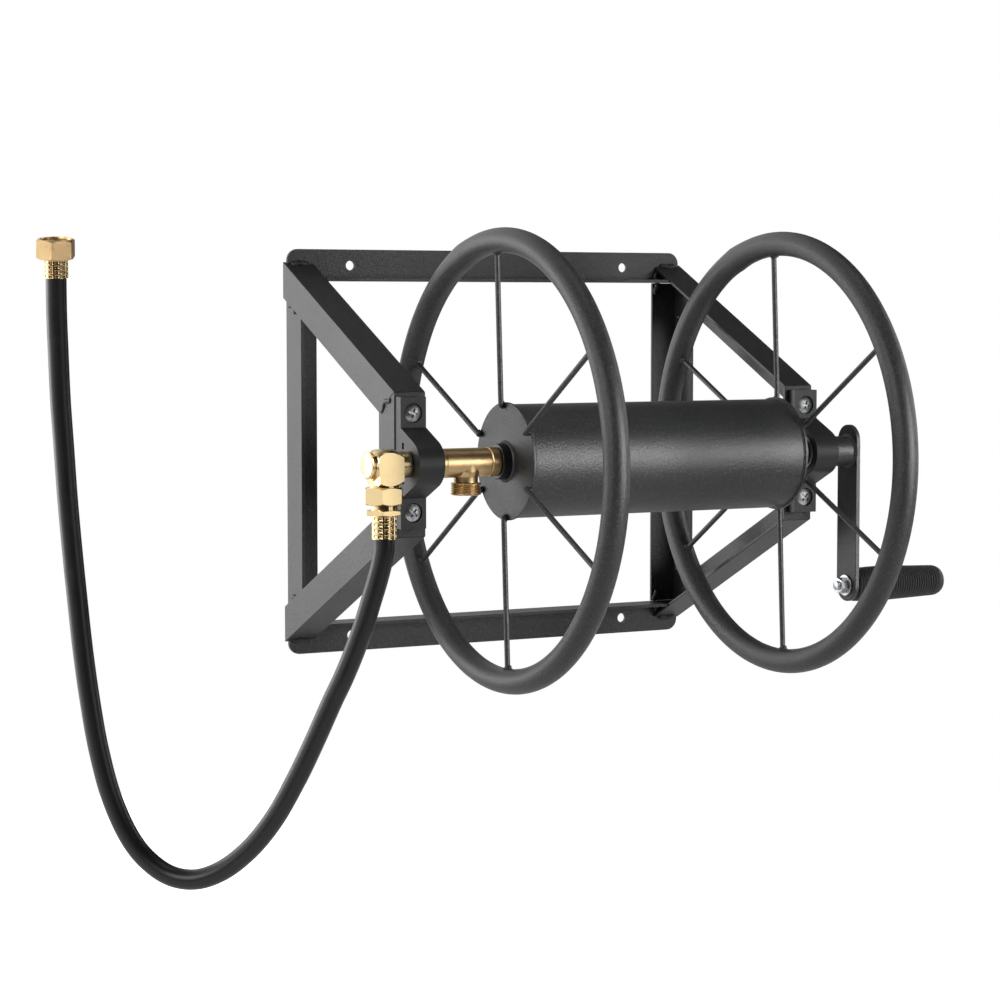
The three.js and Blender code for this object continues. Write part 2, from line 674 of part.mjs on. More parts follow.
function coupling(parent, name, ferruleLength, nutBase, across, height, flanged) {
  const add = (part, shape, material) => piece(parent, `${name}_${part}`, shape, material);
  add('hose_tail', hoseTail(ferruleLength, nutBase, flanged), polishedBrass);
  add('ferrule', pipe('z', ferruleDiameter, ferruleDiameter - 2 * ferruleWall, 0, ferruleLength),
    polishedBrass);
  add('nut', couplingNut(across, height), polishedBrass).position.z = nutBase;
  add('washer', pipe('z', hoseWasherDiameter, hoseWasherHole, washerBase,
    washerBase + hoseWasherThickness), blackRubber).position.z = nutBase;
}

// ---- Leader hose ---------------------------------------------------------------

function leaderHose(parent) {
  const curve = new THREE.CatmullRomCurve3(
    hoseRoute.map((point) => new THREE.Vector3(...point)), false, 'centripetal',
  );
  const section = new THREE.Shape();
  section.absarc(0, 0, hoseDiameter / 2, 0, 2 * Math.PI, false);
  const tube = new THREE.ExtrudeGeometry(section, {
    steps: hoseSteps, extrudePath: curve, curveSegments: hoseSides / 2,
  });
  piece(parent, 'leader_hose', solid(tube), blackRubber);
  return curve;
}

// ---- The object ---------------------------------------------------------------

const reel = new THREE.Group();
rail(reel, 'top_rail', 1);
rail(reel, 'bottom_rail', -1);
const bearingScrewZ = [1, -1].map((up) => axleZ + up * bearingScrewSpan / 2);
for (const [sideName, side] of [['left', -1], ['right', 1]]) {
  post(reel, `${sideName}_post`, side);
  bracketBar(reel, `${sideName}_upper_arm`, side, 0);
  bracketBar(reel, `${sideName}_front_strap`, side, 1, bearingScrewZ);
  bracketBar(reel, `${sideName}_lower_arm`, side, 2);
  bearing(reel, `${sideName}_bearing`, side * bearingX);
  bearingScrew(reel, `${sideName}_upper`, side * bearingX, bearingScrewZ[0]);
  bearingScrew(reel, `${sideName}_lower`, side * bearingX, bearingScrewZ[1]);
}

const turning = new THREE.Group();
turning.position.set(0, axleY, axleZ);
drum(turning);
for (const [sideName, x] of [['left', leftRingX], ['right', rightRingX]]) {
  ring(turning, `${sideName}_ring`, x);
  spokes(turning, sideName, x);
}
tee(turning);
journalRings(turning);
collar(turning);
crank(turning);
const gripLine = new THREE.Group();
gripLine.position.z = gripZ;
crankBolt(gripLine);
turning.add(gripLine);
reel.add(turning);

const swivel = new THREE.Group();
swivel.position.set(0, axleY, axleZ);
elbow(swivel);
const inletNutBase = inletFerruleLength + gap + tailFlangeHeight + tailShoulderHeight + gap;
const inlet = new THREE.Group();
inlet.position.set(outletCentre, 0, inletNutTop - inletNutHeight - inletNutBase);
coupling(inlet, 'inlet', inletFerruleLength, inletNutBase, inletNutAcross, inletNutHeight, true);
swivel.add(inlet);
reel.add(swivel);

// The hose starts below the inlet's ferrule, and the tap coupling stands on
// its other end, in line with it.
const hose = new THREE.Group();
hose.position.set(0, 0, -gap);
const hoseLine = leaderHose(hose);
const tapEnd = new THREE.Group();
const along = hoseLine.getTangent(1);
tapEnd.position.copy(hoseLine.getPoint(1)).addScaledVector(along, gap);
tapEnd.quaternion.setFromUnitVectors(new THREE.Vector3(0, 0, 1), along);
coupling(tapEnd, 'tap', tapFerruleLength, tapFerruleLength + gap, tapNutAcross, tapNutHeight, false);
hose.add(tapEnd);
inlet.add(hose);

export default reel;
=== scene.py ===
"""Looks of a wall-mounted garden hose reel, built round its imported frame.

Angle-iron wall frame and brackets, spoked reel on two plastic bearings, brass
water swivel with a leader hose on the left, crank with a ribbed grip on the
right. Metres. +X to the crank side, -Y away from the wall, +Z up.
"""

import json
from math import acos, atan2, cos, degrees, hypot, pi, radians, sin, sqrt, tau

import bmesh
import bpy
from mathutils import Matrix, Vector


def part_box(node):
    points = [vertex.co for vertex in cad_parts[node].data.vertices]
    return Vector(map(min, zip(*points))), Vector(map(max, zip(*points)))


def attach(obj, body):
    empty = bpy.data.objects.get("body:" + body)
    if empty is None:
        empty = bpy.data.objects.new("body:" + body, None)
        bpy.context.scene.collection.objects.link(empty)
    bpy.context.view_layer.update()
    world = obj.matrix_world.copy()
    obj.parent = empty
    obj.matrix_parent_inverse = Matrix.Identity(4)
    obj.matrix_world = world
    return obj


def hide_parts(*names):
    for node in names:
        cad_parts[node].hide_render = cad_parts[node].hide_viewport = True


bl_info = {
    "name": "Wall-Mounted Hose Reel",
    "version": (1, 0, 0),
    "blender": (4, 5, 0),
    "location": "View3D > Sidebar > Hose Reel",
    "description": "Builds the finished surfaces of a wall-mounted garden hose reel",
    "category": "Object",
}

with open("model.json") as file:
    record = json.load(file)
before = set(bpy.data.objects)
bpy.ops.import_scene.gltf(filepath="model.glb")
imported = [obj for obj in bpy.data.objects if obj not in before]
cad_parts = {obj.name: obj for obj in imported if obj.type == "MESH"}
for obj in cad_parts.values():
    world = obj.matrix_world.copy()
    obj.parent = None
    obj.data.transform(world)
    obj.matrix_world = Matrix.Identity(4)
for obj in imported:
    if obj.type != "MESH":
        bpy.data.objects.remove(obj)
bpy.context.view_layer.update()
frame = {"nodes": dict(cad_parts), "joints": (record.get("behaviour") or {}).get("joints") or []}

SIDES = ("left", "right")
MM = 0.001
GAP = 0.3 * MM            # clearance between pieces that don't touch
JOURNAL = 9 * MM          # radius of the reel's two journals
JOURNAL_BORE = 9.3 * MM   # radius of every hole round a journal
BOLT_BORE = 4.3 * MM      # radius of every hole round the crank's bolt
TAP_FERRULE = 16 * MM     # length of the ferrule at the tap's end


def low(node):
    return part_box(node)[0]


def high(node):
    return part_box(node)[1]


def middle(node):
    return (low(node) + high(node)) / 2


AXLE = middle("tee_collar")


def joint(name):
    return next(j for j in frame["joints"] if j["name"] == name)


# ---- Settings ---------------------------------------------------------------


def length(name, description, default, **more):
    return bpy.props.FloatProperty(
        name=name, description=description, default=default, unit="LENGTH", precision=4, **more)


def colour(name, description, default):
    return bpy.props.FloatVectorProperty(
        name=name, description=description, default=default, subtype="COLOR", size=3, min=0, max=1)


class ReelShape(bpy.types.PropertyGroup):
    """Sizes of the details that the frame leaves open."""

    steel_edge: length("Steel Edge", "Rounding along the edges of the angle iron", 0.0006)
    steel: length("Steel Thickness", "Thickness of the angle iron's legs", 0.003)
    corner: length("Rail Corner", "Radius of the rails' outer corners", 0.011)
    bolt_hole: length("Wall Bolt Hole", "Diameter of the holes for the wall bolts", 0.009)
    bolt_span: length("Wall Bolt Span", "Between the two wall bolts of a rail", 0.3)
    weld: length("Weld Width", "Width of a weld bead on the frame", 0.0062)
    ring_sides: bpy.props.IntProperty(
        name="Ring Sides", description="Facets round a reel ring", default=168, min=24)
    rib_count: bpy.props.IntProperty(
        name="Grip Ribs", description="Ribs along the crank's grip", default=32, min=4)
    crimp_rows: bpy.props.IntProperty(
        name="Crimp Rows", description="Rows of dents round a ferrule", default=4, min=1)
    crimps_round: bpy.props.IntProperty(
        name="Crimps Round", description="Dents in one row of a ferrule", default=12, min=3)
    thread_pitch: length("Thread Pitch", "Pitch of the garden hose thread", 0.0022)


class ReelColours(bpy.types.PropertyGroup):
    """Base colours of the finishes."""

    coat: colour("Powder Coat", "Satin black powder coat on the steel", (0.0135, 0.0138, 0.0148))
    polished: colour("Polished Brass", "Elbow, nuts, tails and ferrules", (0.90, 0.69, 0.37))
    satin: colour("Satin Brass", "Machined water tee", (0.66, 0.46, 0.235))
    zinc: colour("Zinc Plate", "Screws, nuts and washers", (0.66, 0.67, 0.68))
    plastic: colour("Bearing Plastic", "Moulded bearing blocks", (0.0155, 0.0159, 0.017))
    rubber: colour("Hose Rubber", "Hose, seals and collar", (0.0065, 0.0065, 0.007))
    grip: colour("Grip Rubber", "Ribbed grip of the crank", (0.030, 0.030, 0.0305))


class ReelStage(bpy.types.PropertyGroup):
    """Camera, floor and lights."""

    eye: bpy.props.FloatVectorProperty(
        name="Camera Place", description="Where the camera stands", subtype="TRANSLATION", size=3,
        default=(-1.2732, -2.3388, -0.0393))
    pitch: bpy.props.FloatProperty(
        name="Camera Pitch", description="Camera's tilt from straight down", subtype="ANGLE",
        default=radians(85.975))
    yaw: bpy.props.FloatProperty(
        name="Camera Yaw", description="Camera's turn about the vertical", subtype="ANGLE",
        default=radians(-28.80))
    lens: bpy.props.FloatProperty(
        name="Lens", description="Focal length in millimetres", subtype="DISTANCE_CAMERA",
        default=98.57)
    floor_drop: length("Floor Drop", "Floor below the lowest point of the hose", 0.22)
    key_power: bpy.props.FloatProperty(
        name="Key Power", description="Soft light at the left, in watts", default=22.0)
    top_power: bpy.props.FloatProperty(
        name="Top Power", description="Soft light overhead, in watts", default=5.0)
    front_power: bpy.props.FloatProperty(
        name="Front Power", description="Soft light that only the coated reel gets, in watts",
        default=88.0)
    frame_power: bpy.props.FloatProperty(
        name="Frame Power", description="Soft light on the dull pieces of the frame, in watts",
        default=22.0)
    fill_power: bpy.props.FloatProperty(
        name="Fill Power", description="Weak light beside the camera, in watts", default=10.0)
    rim_power: bpy.props.FloatProperty(
        name="Rim Power", description="Soft light at the right, in watts", default=14.0)
    sweep_power: bpy.props.FloatProperty(
        name="Sweep Power", description="Soft light behind at the left, in watts", default=22.0)


def shape_values():
    return bpy.context.scene.reel_shape


# ---- Shader boards ------------------------------------------------------------


class Socket:
    """A shader socket that can stand in Python sums and products."""

    def __init__(self, board, socket):
        self.board = board
        self.socket = socket

    def _math(self, operation, first, second):
        return self.board.node("ShaderNodeMath", {"operation": operation}, {0: first, 1: second})

    def __add__(self, other):
        return self._math("ADD", self, other)

    def __radd__(self, other):
        return self._math("ADD", other, self)

    def __mul__(self, other):
        return self._math("MULTIPLY", self, other)

    def __rmul__(self, other):
        return self._math("MULTIPLY", other, self)


class Board:
    """The nodes of one material, or of the world."""

    def __init__(self, name, kind="materials"):
        self.owner = getattr(bpy.data, kind).new(name)
        self.owner.use_nodes = True
        self.tree = self.owner.node_tree
        self.tree.nodes.clear()

    def node(self, kind, settings=None, inputs=None, output=0):
        made = self.tree.nodes.new(kind)
        for key, value in (settings or {}).items():
            setattr(made, key, value)
        for key, value in (inputs or {}).items():
            if isinstance(value, Socket):
                self.tree.links.new(value.socket, made.inputs[key])
            else:
                made.inputs[key].default_value = value
        return Socket(self, made.outputs[output]) if len(made.outputs) else made

    def noise(self, scale, detail=2.0, stretch=(1, 1, 1)):
        """Noise fixed to the piece, from 0 to 1, with about `scale` lumps to a metre."""
        place = self.node("ShaderNodeTexCoord", output="Object")
        if stretch != (1, 1, 1):
            place = self.node("ShaderNodeMapping", inputs={"Vector": place, "Scale": stretch})
        return self.node("ShaderNodeTexNoise", inputs={
            "Vector": place, "Scale": scale, "Detail": detail, "Roughness": 0.55})

    def clear_of(self, value, start, end, least=0.0, most=1.0):
        """`least` below start and `most` above end, smooth between."""
        return self.node("ShaderNodeMapRange", {"interpolation_type": "SMOOTHSTEP"}, {
            "Value": value, "From Min": start, "From Max": end, "To Min": least, "To Max": most})

    def mix(self, share, first, second):
        colours = [(*c, 1.0) if isinstance(c, tuple) else c for c in (first, second)]
        return self.node("ShaderNodeMix", {"data_type": "RGBA"}, {
            0: share, 6: colours[0], 7: colours[1]}, output=2)

    def bump(self, height, strength, distance):
        return self.node("ShaderNodeBump", inputs={
            "Height": height, "Strength": strength, "Distance": distance})

    def done(self, **inputs):
        """A Principled surface with these inputs, and the finished material."""
        named = {key.replace("_", " "): value for key, value in inputs.items()}
        shader = self.node("ShaderNodeBsdfPrincipled", inputs=named)
        self.node("ShaderNodeOutputMaterial", inputs={"Surface": shader})
        return self.owner


def tint(base, factor):
    """The colour made lighter or darker."""
    return tuple(min(1.0, c * factor) for c in base)


def powder_coat(base):
    """Satin black powder coat: fine orange-peel grain, a little dust in it."""
    board = Board("powder_coat")
    grain = board.noise(560, 3)
    fine = board.noise(1700, 1)
    broad = board.noise(16, 4)
    dust = board.clear_of(grain, 0.50, 0.70)
    colour_of_coat = board.mix(broad, tint(base, 0.78), tint(base, 1.3))
    return board.done(
        Base_Color=board.mix(dust * 0.6, colour_of_coat, tint(base, 3.4)),
        Roughness=0.30 + broad * 0.12 + grain * 0.14,
        Normal=board.bump(grain * 0.7 + fine * 0.3, 0.75, 0.0006),
    )


def polished_brass(base):
    """Polished brass, with soft cloudiness and hair-fine polishing lines."""
    board = Board("polished_brass")
    cloud = board.noise(70, 3)
    lines = board.noise(380, 2, (1, 1, 7))
    return board.done(
        Base_Color=board.mix(cloud, tint(base, 0.86), base),
        Metallic=1.0,
        Roughness=0.10 + cloud * 0.12 + lines * 0.06,
        Normal=board.bump(lines, 0.10, 0.00012),
    )


def satin_brass(base):
    """Cast and turned brass, blasted satin, slightly brown where handled."""
    board = Board("satin_brass")
    cast = board.noise(1500, 2)
    cloud = board.noise(55, 4)
    stain = board.clear_of(board.noise(120, 3), 0.52, 0.74)
    skin = board.mix(cloud, tint(base, 0.82), tint(base, 1.22))
    return board.done(
        Base_Color=board.mix(stain * 0.35, skin, (0.30, 0.17, 0.06)),
        Metallic=1.0,
        Roughness=0.27 + cloud * 0.12 + cast * 0.08,
        Normal=board.bump(cast, 0.30, 0.00018),
    )


def zinc_plate(base):
    """Bright zinc plate on rolled screws and nuts."""
    board = Board("zinc_plate")
    cloud = board.noise(240, 3)
    fine = board.noise(2600, 1)
    return board.done(
        Base_Color=board.mix(cloud, tint(base, 0.72), base),
        Metallic=1.0,
        Roughness=0.20 + cloud * 0.18,
        Normal=board.bump(cloud * 0.6 + fine * 0.4, 0.22, 0.00016),
    )


def moulded_plastic(base):
    """Moulded bearing plastic with a spark-eroded texture."""
    board = Board("bearing_plastic")
    spark = board.noise(1700, 2)
    flow = board.noise(40, 3)
    return board.done(
        Base_Color=board.mix(flow, tint(base, 0.85), tint(base, 1.25)),
        Roughness=0.40 + flow * 0.12 + spark * 0.06,
        Normal=board.bump(spark, 0.28, 0.00022),
    )


def hose_rubber(base):
    """Smooth extruded rubber: shallow waviness under a soft sheen."""
    board = Board("hose_rubber")
    wave = board.noise(48, 2)
    skin = board.noise(900, 2)
    rub = board.clear_of(board.noise(36, 5), 0.55, 0.8)
    return board.done(
        Base_Color=board.mix(rub * 0.5, base, tint(base, 2.4)),
        Roughness=0.30 + wave * 0.12 + rub * 0.12,
        Normal=board.bump(wave * 0.8 + skin * 0.2, 0.25, 0.0005),
    )


def grip_rubber(base):
    """Matte ribbed rubber with a dusty bloom."""
    board = Board("grip_rubber")
    bloom = board.noise(90, 4)
    skin = board.noise(1900, 2)
    return board.done(
        Base_Color=board.mix(bloom, tint(base, 0.8), tint(base, 1.5)),
        Roughness=0.50 + bloom * 0.14,
        Normal=board.bump(skin, 0.30, 0.0002),
    )


FINISHES = {
    "powder_coat": (powder_coat, "coat"),
    "polished_brass": (polished_brass, "polished"),
    "satin_brass": (satin_brass, "satin"),
    "zinc_plate": (zinc_plate, "zinc"),
    "black_plastic": (moulded_plastic, "plastic"),
    "black_rubber": (hose_rubber, "rubber"),
    "grip_rubber": (grip_rubber, "grip"),
}
made_finishes = {}
REEL_LIT = "lit with the reel"
FRAME_LIT = "lit with the frame"
DULL_SLOTS = ("powder_coat", "black_plastic", "satin_brass", "grip_rubber")


def finish(slot):
    """The material of a slot, made the first time it is asked for."""
    if slot not in made_finishes:
        recipe, setting = FINISHES[slot]
        made_finishes[slot] = recipe(tuple(getattr(bpy.context.scene.reel_colours, setting)))
    return made_finishes[slot]


# ---- Mesh work ------------------------------------------------------------------


def from_bmesh(name, work):
    bmesh.ops.remove_doubles(work, verts=work.verts, dist=1e-7)
    bmesh.ops.recalc_face_normals(work, faces=work.faces)
    mesh = bpy.data.meshes.new(name)
    work.to_mesh(mesh)
    work.free()
    piece = bpy.data.objects.new(name, mesh)
    bpy.context.scene.collection.objects.link(piece)
    return piece


AXIS_TURN = {
    "x": Matrix(((0, 0, 1, 0), (1, 0, 0, 0), (0, 1, 0, 0), (0, 0, 0, 1))),
    "y": Matrix(((0, 1, 0, 0), (0, 0, 1, 0), (1, 0, 0, 0), (0, 0, 0, 1))),
    "z": Matrix.Identity(4),
}


def along_axis(axis, centre):
    """Puts a shape drawn round +Z onto an axis through a point."""
    return Matrix.Translation(centre) @ AXIS_TURN[axis]


AXLE_LINE = along_axis("x", (0, AXLE.y, AXLE.z))


def turned(name, profile, where, sides=96):
    """A turned piece. The profile is (radius, along) pairs, ended on the axis or closed on
    itself, and a radius may be a function of the angle."""
    work = bmesh.new()
    rows = []
    for radius, along in profile:
        if not callable(radius) and radius < 1e-7:
            rows.append([work.verts.new((0, 0, along))] * sides)
            continue
        row = []
        for i in range(sides):
            angle = tau * i / sides
            r = radius(angle) if callable(radius) else radius
            row.append(work.verts.new((r * cos(angle), r * sin(angle), along)))
        rows.append(row)
    if rows[0][0] is not rows[0][1] and rows[-1][0] is not rows[-1][1]:
        rows.append(rows[0])
    for lower, upper in zip(rows, rows[1:]):
        for i in range(sides):
            j = (i + 1) % sides
            corners = [lower[i], lower[j], upper[j], upper[i]]
            distinct = [c for k, c in enumerate(corners) if c not in corners[:k]]
            if len(distinct) > 2:
                work.faces.new(distinct)
    piece = from_bmesh(name, work)
    piece.data.transform(where)
    return piece


def rod(name, radius, near, far, where, sides=96):
    """A plain round bar, most often the tool that bores a hole."""
    return turned(name, [(0, near), (radius, near), (radius, far), (0, far)], where, sides)


def prism(name, outline, near, far, where):
    """An outline in the X-Y plane carried along Z from near to far, then put in place."""
    work = bmesh.new()
    bottom = [work.verts.new((x, y, near)) for x, y in outline]
    top = [work.verts.new((x, y, far)) for x, y in outline]
    work.faces.new(bottom)
    work.faces.new(top)
    for i, corner in enumerate(bottom):
        j = (i + 1) % len(bottom)
        work.faces.new((corner, bottom[j], top[j], top[i]))
    piece = from_bmesh(name, work)
    piece.data.transform(where)
    return piece


def block(name, lowest, highest):
    outline = [(lowest[0], lowest[1]), (highest[0], lowest[1]),
               (highest[0], highest[1]), (lowest[0], highest[1])]
    return prism(name, outline, lowest[2], highest[2], Matrix.Identity(4))


def arc(centre, radius, start, end, steps=12):
    """Points of an arc, angles in degrees."""
    return [(centre[0] + radius * cos(radians(start + (end - start) * i / steps)),
             centre[1] + radius * sin(radians(start + (end - start) * i / steps)))
            for i in range(steps + 1)]


def settle(piece):
    """Applies the piece's modifiers to its mesh."""
    bpy.context.view_layer.update()
    graph = bpy.context.evaluated_depsgraph_get()
    old = piece.data
    piece.data = bpy.data.meshes.new_from_object(piece.evaluated_get(graph))
    piece.modifiers.clear()
    bpy.data.meshes.remove(old)
    return piece


def combine(piece, tools, operation):
    """Cuts the tools from the piece, fuses them to it or keeps what they share."""
    for tool in tools:
        step = piece.modifiers.new(operation.lower(), "BOOLEAN")
        step.operation = operation
        step.solver = "EXACT"
        step.object = tool
        settle(piece)
        bpy.data.objects.remove(tool)
    if not piece.data.vertices:
        raise RuntimeError(f"{piece.name} came out empty")
    return piece


def cut(piece, *tools):
    return combine(piece, tools, "DIFFERENCE")


def fuse(piece, *tools):
    return combine(piece, tools, "UNION")


def soften(piece, width, segments=2, angle=32):
    """Rounds the piece's sharp edges."""
    step = piece.modifiers.new("edges", "BEVEL")
    step.width = width
    step.segments = segments
    step.limit_method = "ANGLE"
    step.angle_limit = radians(angle)
    step.use_clamp_overlap = True
    return settle(piece)


def gather(name, pieces):
    """One object from several shells."""
    work = bmesh.new()
    for piece in pieces:
        work.from_mesh(piece.data)
        bpy.data.objects.remove(piece)
    return from_bmesh(name, work)


def finished(piece, slot, body, *nodes, smooth=35):
    """Shades, colours and mounts a piece, in place of CAD nodes if any are named."""
    mesh = piece.data
    if piece.type == "MESH":
        for face in mesh.polygons:
            face.use_smooth = True
        mesh.set_sharp_from_angle(angle=radians(smooth))
        if smooth < 60:
            step = piece.modifiers.new("flat faces", "WEIGHTED_NORMAL")
            step.keep_sharp = True
            mesh = settle(piece).data
    mesh.materials.clear()
    mesh.materials.append(finish(slot))
    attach(piece, body)
    if nodes:
        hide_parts(*nodes)
    if (slot, body) == ("powder_coat", "reel"):
        bpy.data.collections[REEL_LIT].objects.link(piece)
    elif slot in DULL_SLOTS:
        bpy.data.collections[FRAME_LIT].objects.link(piece)
    return piece


def dress(node, slot):
    """Gives a CAD node its finished material."""
    mesh = frame["nodes"][node].data
    mesh.materials.clear()
    mesh.materials.append(finish(slot))


def hexagon(across, spin=0.0):
    corner = across / sqrt(3)
    return [(corner * cos(spin + tau * i / 6), corner * sin(spin + tau * i / 6))
            for i in range(6)]


def hex_bar(name, across, height, where, spin=0.0, slope=0.5):
    """A hexagonal bar standing on the origin, both its ends turned to a chamfer."""
    bar = prism(name, hexagon(across, spin), 0, height, where)
    flat, corner = across / 2 * 0.985, across / sqrt(3) + 0.5 * MM
    drop = (corner - flat) * slope
    end, past = flat - MM / slope, MM
    limit = turned(name + "_limit", [
        (0, -past), (end, -past), (corner, drop), (corner, height - drop),
        (end, height + past), (0, height + past)], where, 72)
    return combine(bar, [limit], "INTERSECT")


def bead(start, end, up, width, height, ripples, wander=0.0):
    """A weld bead from start to end: overlapping crescents with round ends."""
    run = end - start
    ahead = run.normalized()
    across = ahead.cross(up).normalized()
    upward = across.cross(ahead).normalized()
    rows, columns = ripples * 6, 12
    bow, sunk = 0.35 / ripples, 0.25 * height
    work = bmesh.new()
    grid = []
    for i in range(rows + 1):
        t = i / rows
        ends = sqrt(max(0.0, 1 - abs(2 * t - 1) ** 5))
        phase = (t * ripples) % 1.0
        swell = (0.80 + 0.20 * sin(pi * phase)) * ends
        side = wander * width * sin(9 * t)
        row = []
        for j in range(columns + 1):
            a = pi * j / columns
            share = min(1.0, max(0.0, t + bow * sin(a) * ends))
            place = (start + run * share
                     + across * (width / 2 * cos(a) * swell + side)
                     + upward * (height * sin(a) * swell - sunk))
            row.append(work.verts.new(place))
        grid.append(row)
    for first, second in zip(grid, grid[1:]):
        for j in range(columns):
            work.faces.new((first[j], first[j + 1], second[j + 1], second[j]))
        work.faces.new((first[columns], first[0], second[0], second[columns]))
    work.faces.new(grid[0])
    work.faces.new(grid[-1])
    return from_bmesh("bead", work)


def blob(centre, radii, turn, seed):
    """A spot of weld: a lumpy ellipsoid."""
    work = bmesh.new()
    bmesh.ops.create_icosphere(work, subdivisions=3, radius=1.0)
    for vertex in work.verts:
        x, y, z = vertex.co
        lump = 1 + 0.10 * sin(5 * x + seed) * cos(4 * y - seed) + 0.07 * sin(7 * z + 2.3 * seed)
        vertex.co = Vector((x * radii[0], y * radii[1], z * radii[2])) * lump
    work.transform(Matrix.Translation(centre) @ turn)
    return from_bmesh("blob", work)


# ---- Wall frame -------------------------------------------------------------------


def rail(side_name, up):
    """A rail with rounded outer corners, bolt holes and a ledge along its inner edge."""
    values = shape_values()
    node = f"{side_name}_rail"
    lo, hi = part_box(node)
    half = hi.x
    outer, inner = (hi.z, lo.z) if up > 0 else (lo.z, hi.z)
    r = values.corner
    corner_z = outer - up * r
    outline = [(-half, inner), (half, inner)]
    outline += arc((half - r, corner_z), r, 0, up * 90)
    outline += arc((-half + r, corner_z), r, up * 90, up * 180)
    stand = Matrix(((1, 0, 0, 0), (0, 0, -1, 0), (0, 1, 0, 0), (0, 0, 0, 1)))
    leg = prism(f"{side_name}_rail_steel", outline, 0, values.steel, stand)
    ledge_end = low("right_upper_arm").x - MM
    ledge = block("ledge", (-ledge_end, lo.y, min(inner, inner + up * values.steel)),
                  (ledge_end, -values.steel / 2, max(inner, inner + up * values.steel)))
    fuse(leg, ledge)
    bolt_z = outer - up * high("top_rail").z
    holes = [rod("hole", values.bolt_hole / 2, -5 * MM, 5 * MM, along_axis("y", (x, 0, bolt_z)), 48)
             for x in (-values.bolt_span / 2, values.bolt_span / 2)]
    cut(leg, *holes)
    soften(leg, values.steel_edge)
    return finished(leg, "powder_coat", "frame", node)


def steel_copy(node):
    """A length of angle iron with its rolled edges rounded."""
    work = bmesh.new()
    work.from_mesh(frame["nodes"][node].data)
    bmesh.ops.remove_doubles(work, verts=work.verts, dist=1e-6)
    bmesh.ops.dissolve_limit(work, angle_limit=radians(1), verts=work.verts, edges=work.edges)
    piece = from_bmesh(f"{node}_steel", work)
    soften(piece, shape_values().steel_edge)
    return finished(piece, "powder_coat", "frame", node)


def bracket_welds(side_name):
    """Beads at the bends of a bracket, at its feet on the post and on the rails."""
    width, steel = shape_values().weld, shape_values().steel
    away = -1 if side_name == "left" else 1
    upper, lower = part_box(f"{side_name}_upper_arm"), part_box(f"{side_name}_lower_arm")
    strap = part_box(f"{side_name}_front_strap")
    face, inside = (upper[0].x, upper[1].x) if away < 0 else (upper[1].x, upper[0].x)
    depth = low(f"{side_name}_post").y
    outward = Vector((away, 0, 0))
    front, back = strap[0].y, strap[1].y
    on_rail = -steel - 1.8 * MM       # far enough out that no bead comes through to the wall
    on_post = depth - 0.6 * steel
    beads = []
    for up, arm, bend_z in ((1, upper, strap[1].z), (-1, lower, strap[0].z)):
        inner_z, root_z = (arm[0].z, arm[1].z) if up > 0 else (arm[1].z, arm[0].z)
        outer_bend = Vector((face, front, bend_z))
        inner_bend = Vector((face, back, inner_z))
        beads.append(bead(inner_bend.lerp(outer_bend, 0.02), inner_bend.lerp(outer_bend, 0.74),
                          outward, width * 0.95, width * 0.42, 4, 0.3))
        slope = (bend_z - root_z) / front
        leg = inner_bend.z - (bend_z + (inner_bend.y - front) * slope)
        foot_z = root_z + slope * depth + leg
        foot = Vector((face - away * 2.5 * MM, depth, foot_z))
        edge = Vector((0, MM, MM * slope))
        beads.append(bead(foot + edge * 27, foot + edge * 8, outward, width, width * 0.55, 3, 0.3))
        rail_z = root_z + up * 0.2 * MM - slope * steel
        beads.append(bead(Vector((face - away * 6 * MM, on_rail, rail_z)),
                          Vector((inside + away * 5 * MM, on_rail, rail_z)),
                          Vector((0, -1, up * 1.4)), width * 1.1, width * 0.55, 9, 0.12))
        beads.append(bead(Vector((inside, on_rail, rail_z - up * 6 * MM)),
                          Vector((inside, on_rail, foot_z + up * 20 * MM)),
                          Vector((-away, -1, 0)), width * 0.9, width * 0.5, 8, 0.2))
        post_z = foot_z - up * 3 * MM
        beads.append(bead(Vector((face - away * 4 * MM, on_post, post_z)),
                          Vector((inside + away * 6 * MM, on_post, post_z)),
                          Vector((0, -1, -up)), width * 0.8, width * 0.4, 8, 0.2))
    welds = gather(f"{side_name}_bracket_welds", beads)
    return finished(welds, "powder_coat", "frame", smooth=60)


# ---- Bearings ---------------------------------------------------------------------


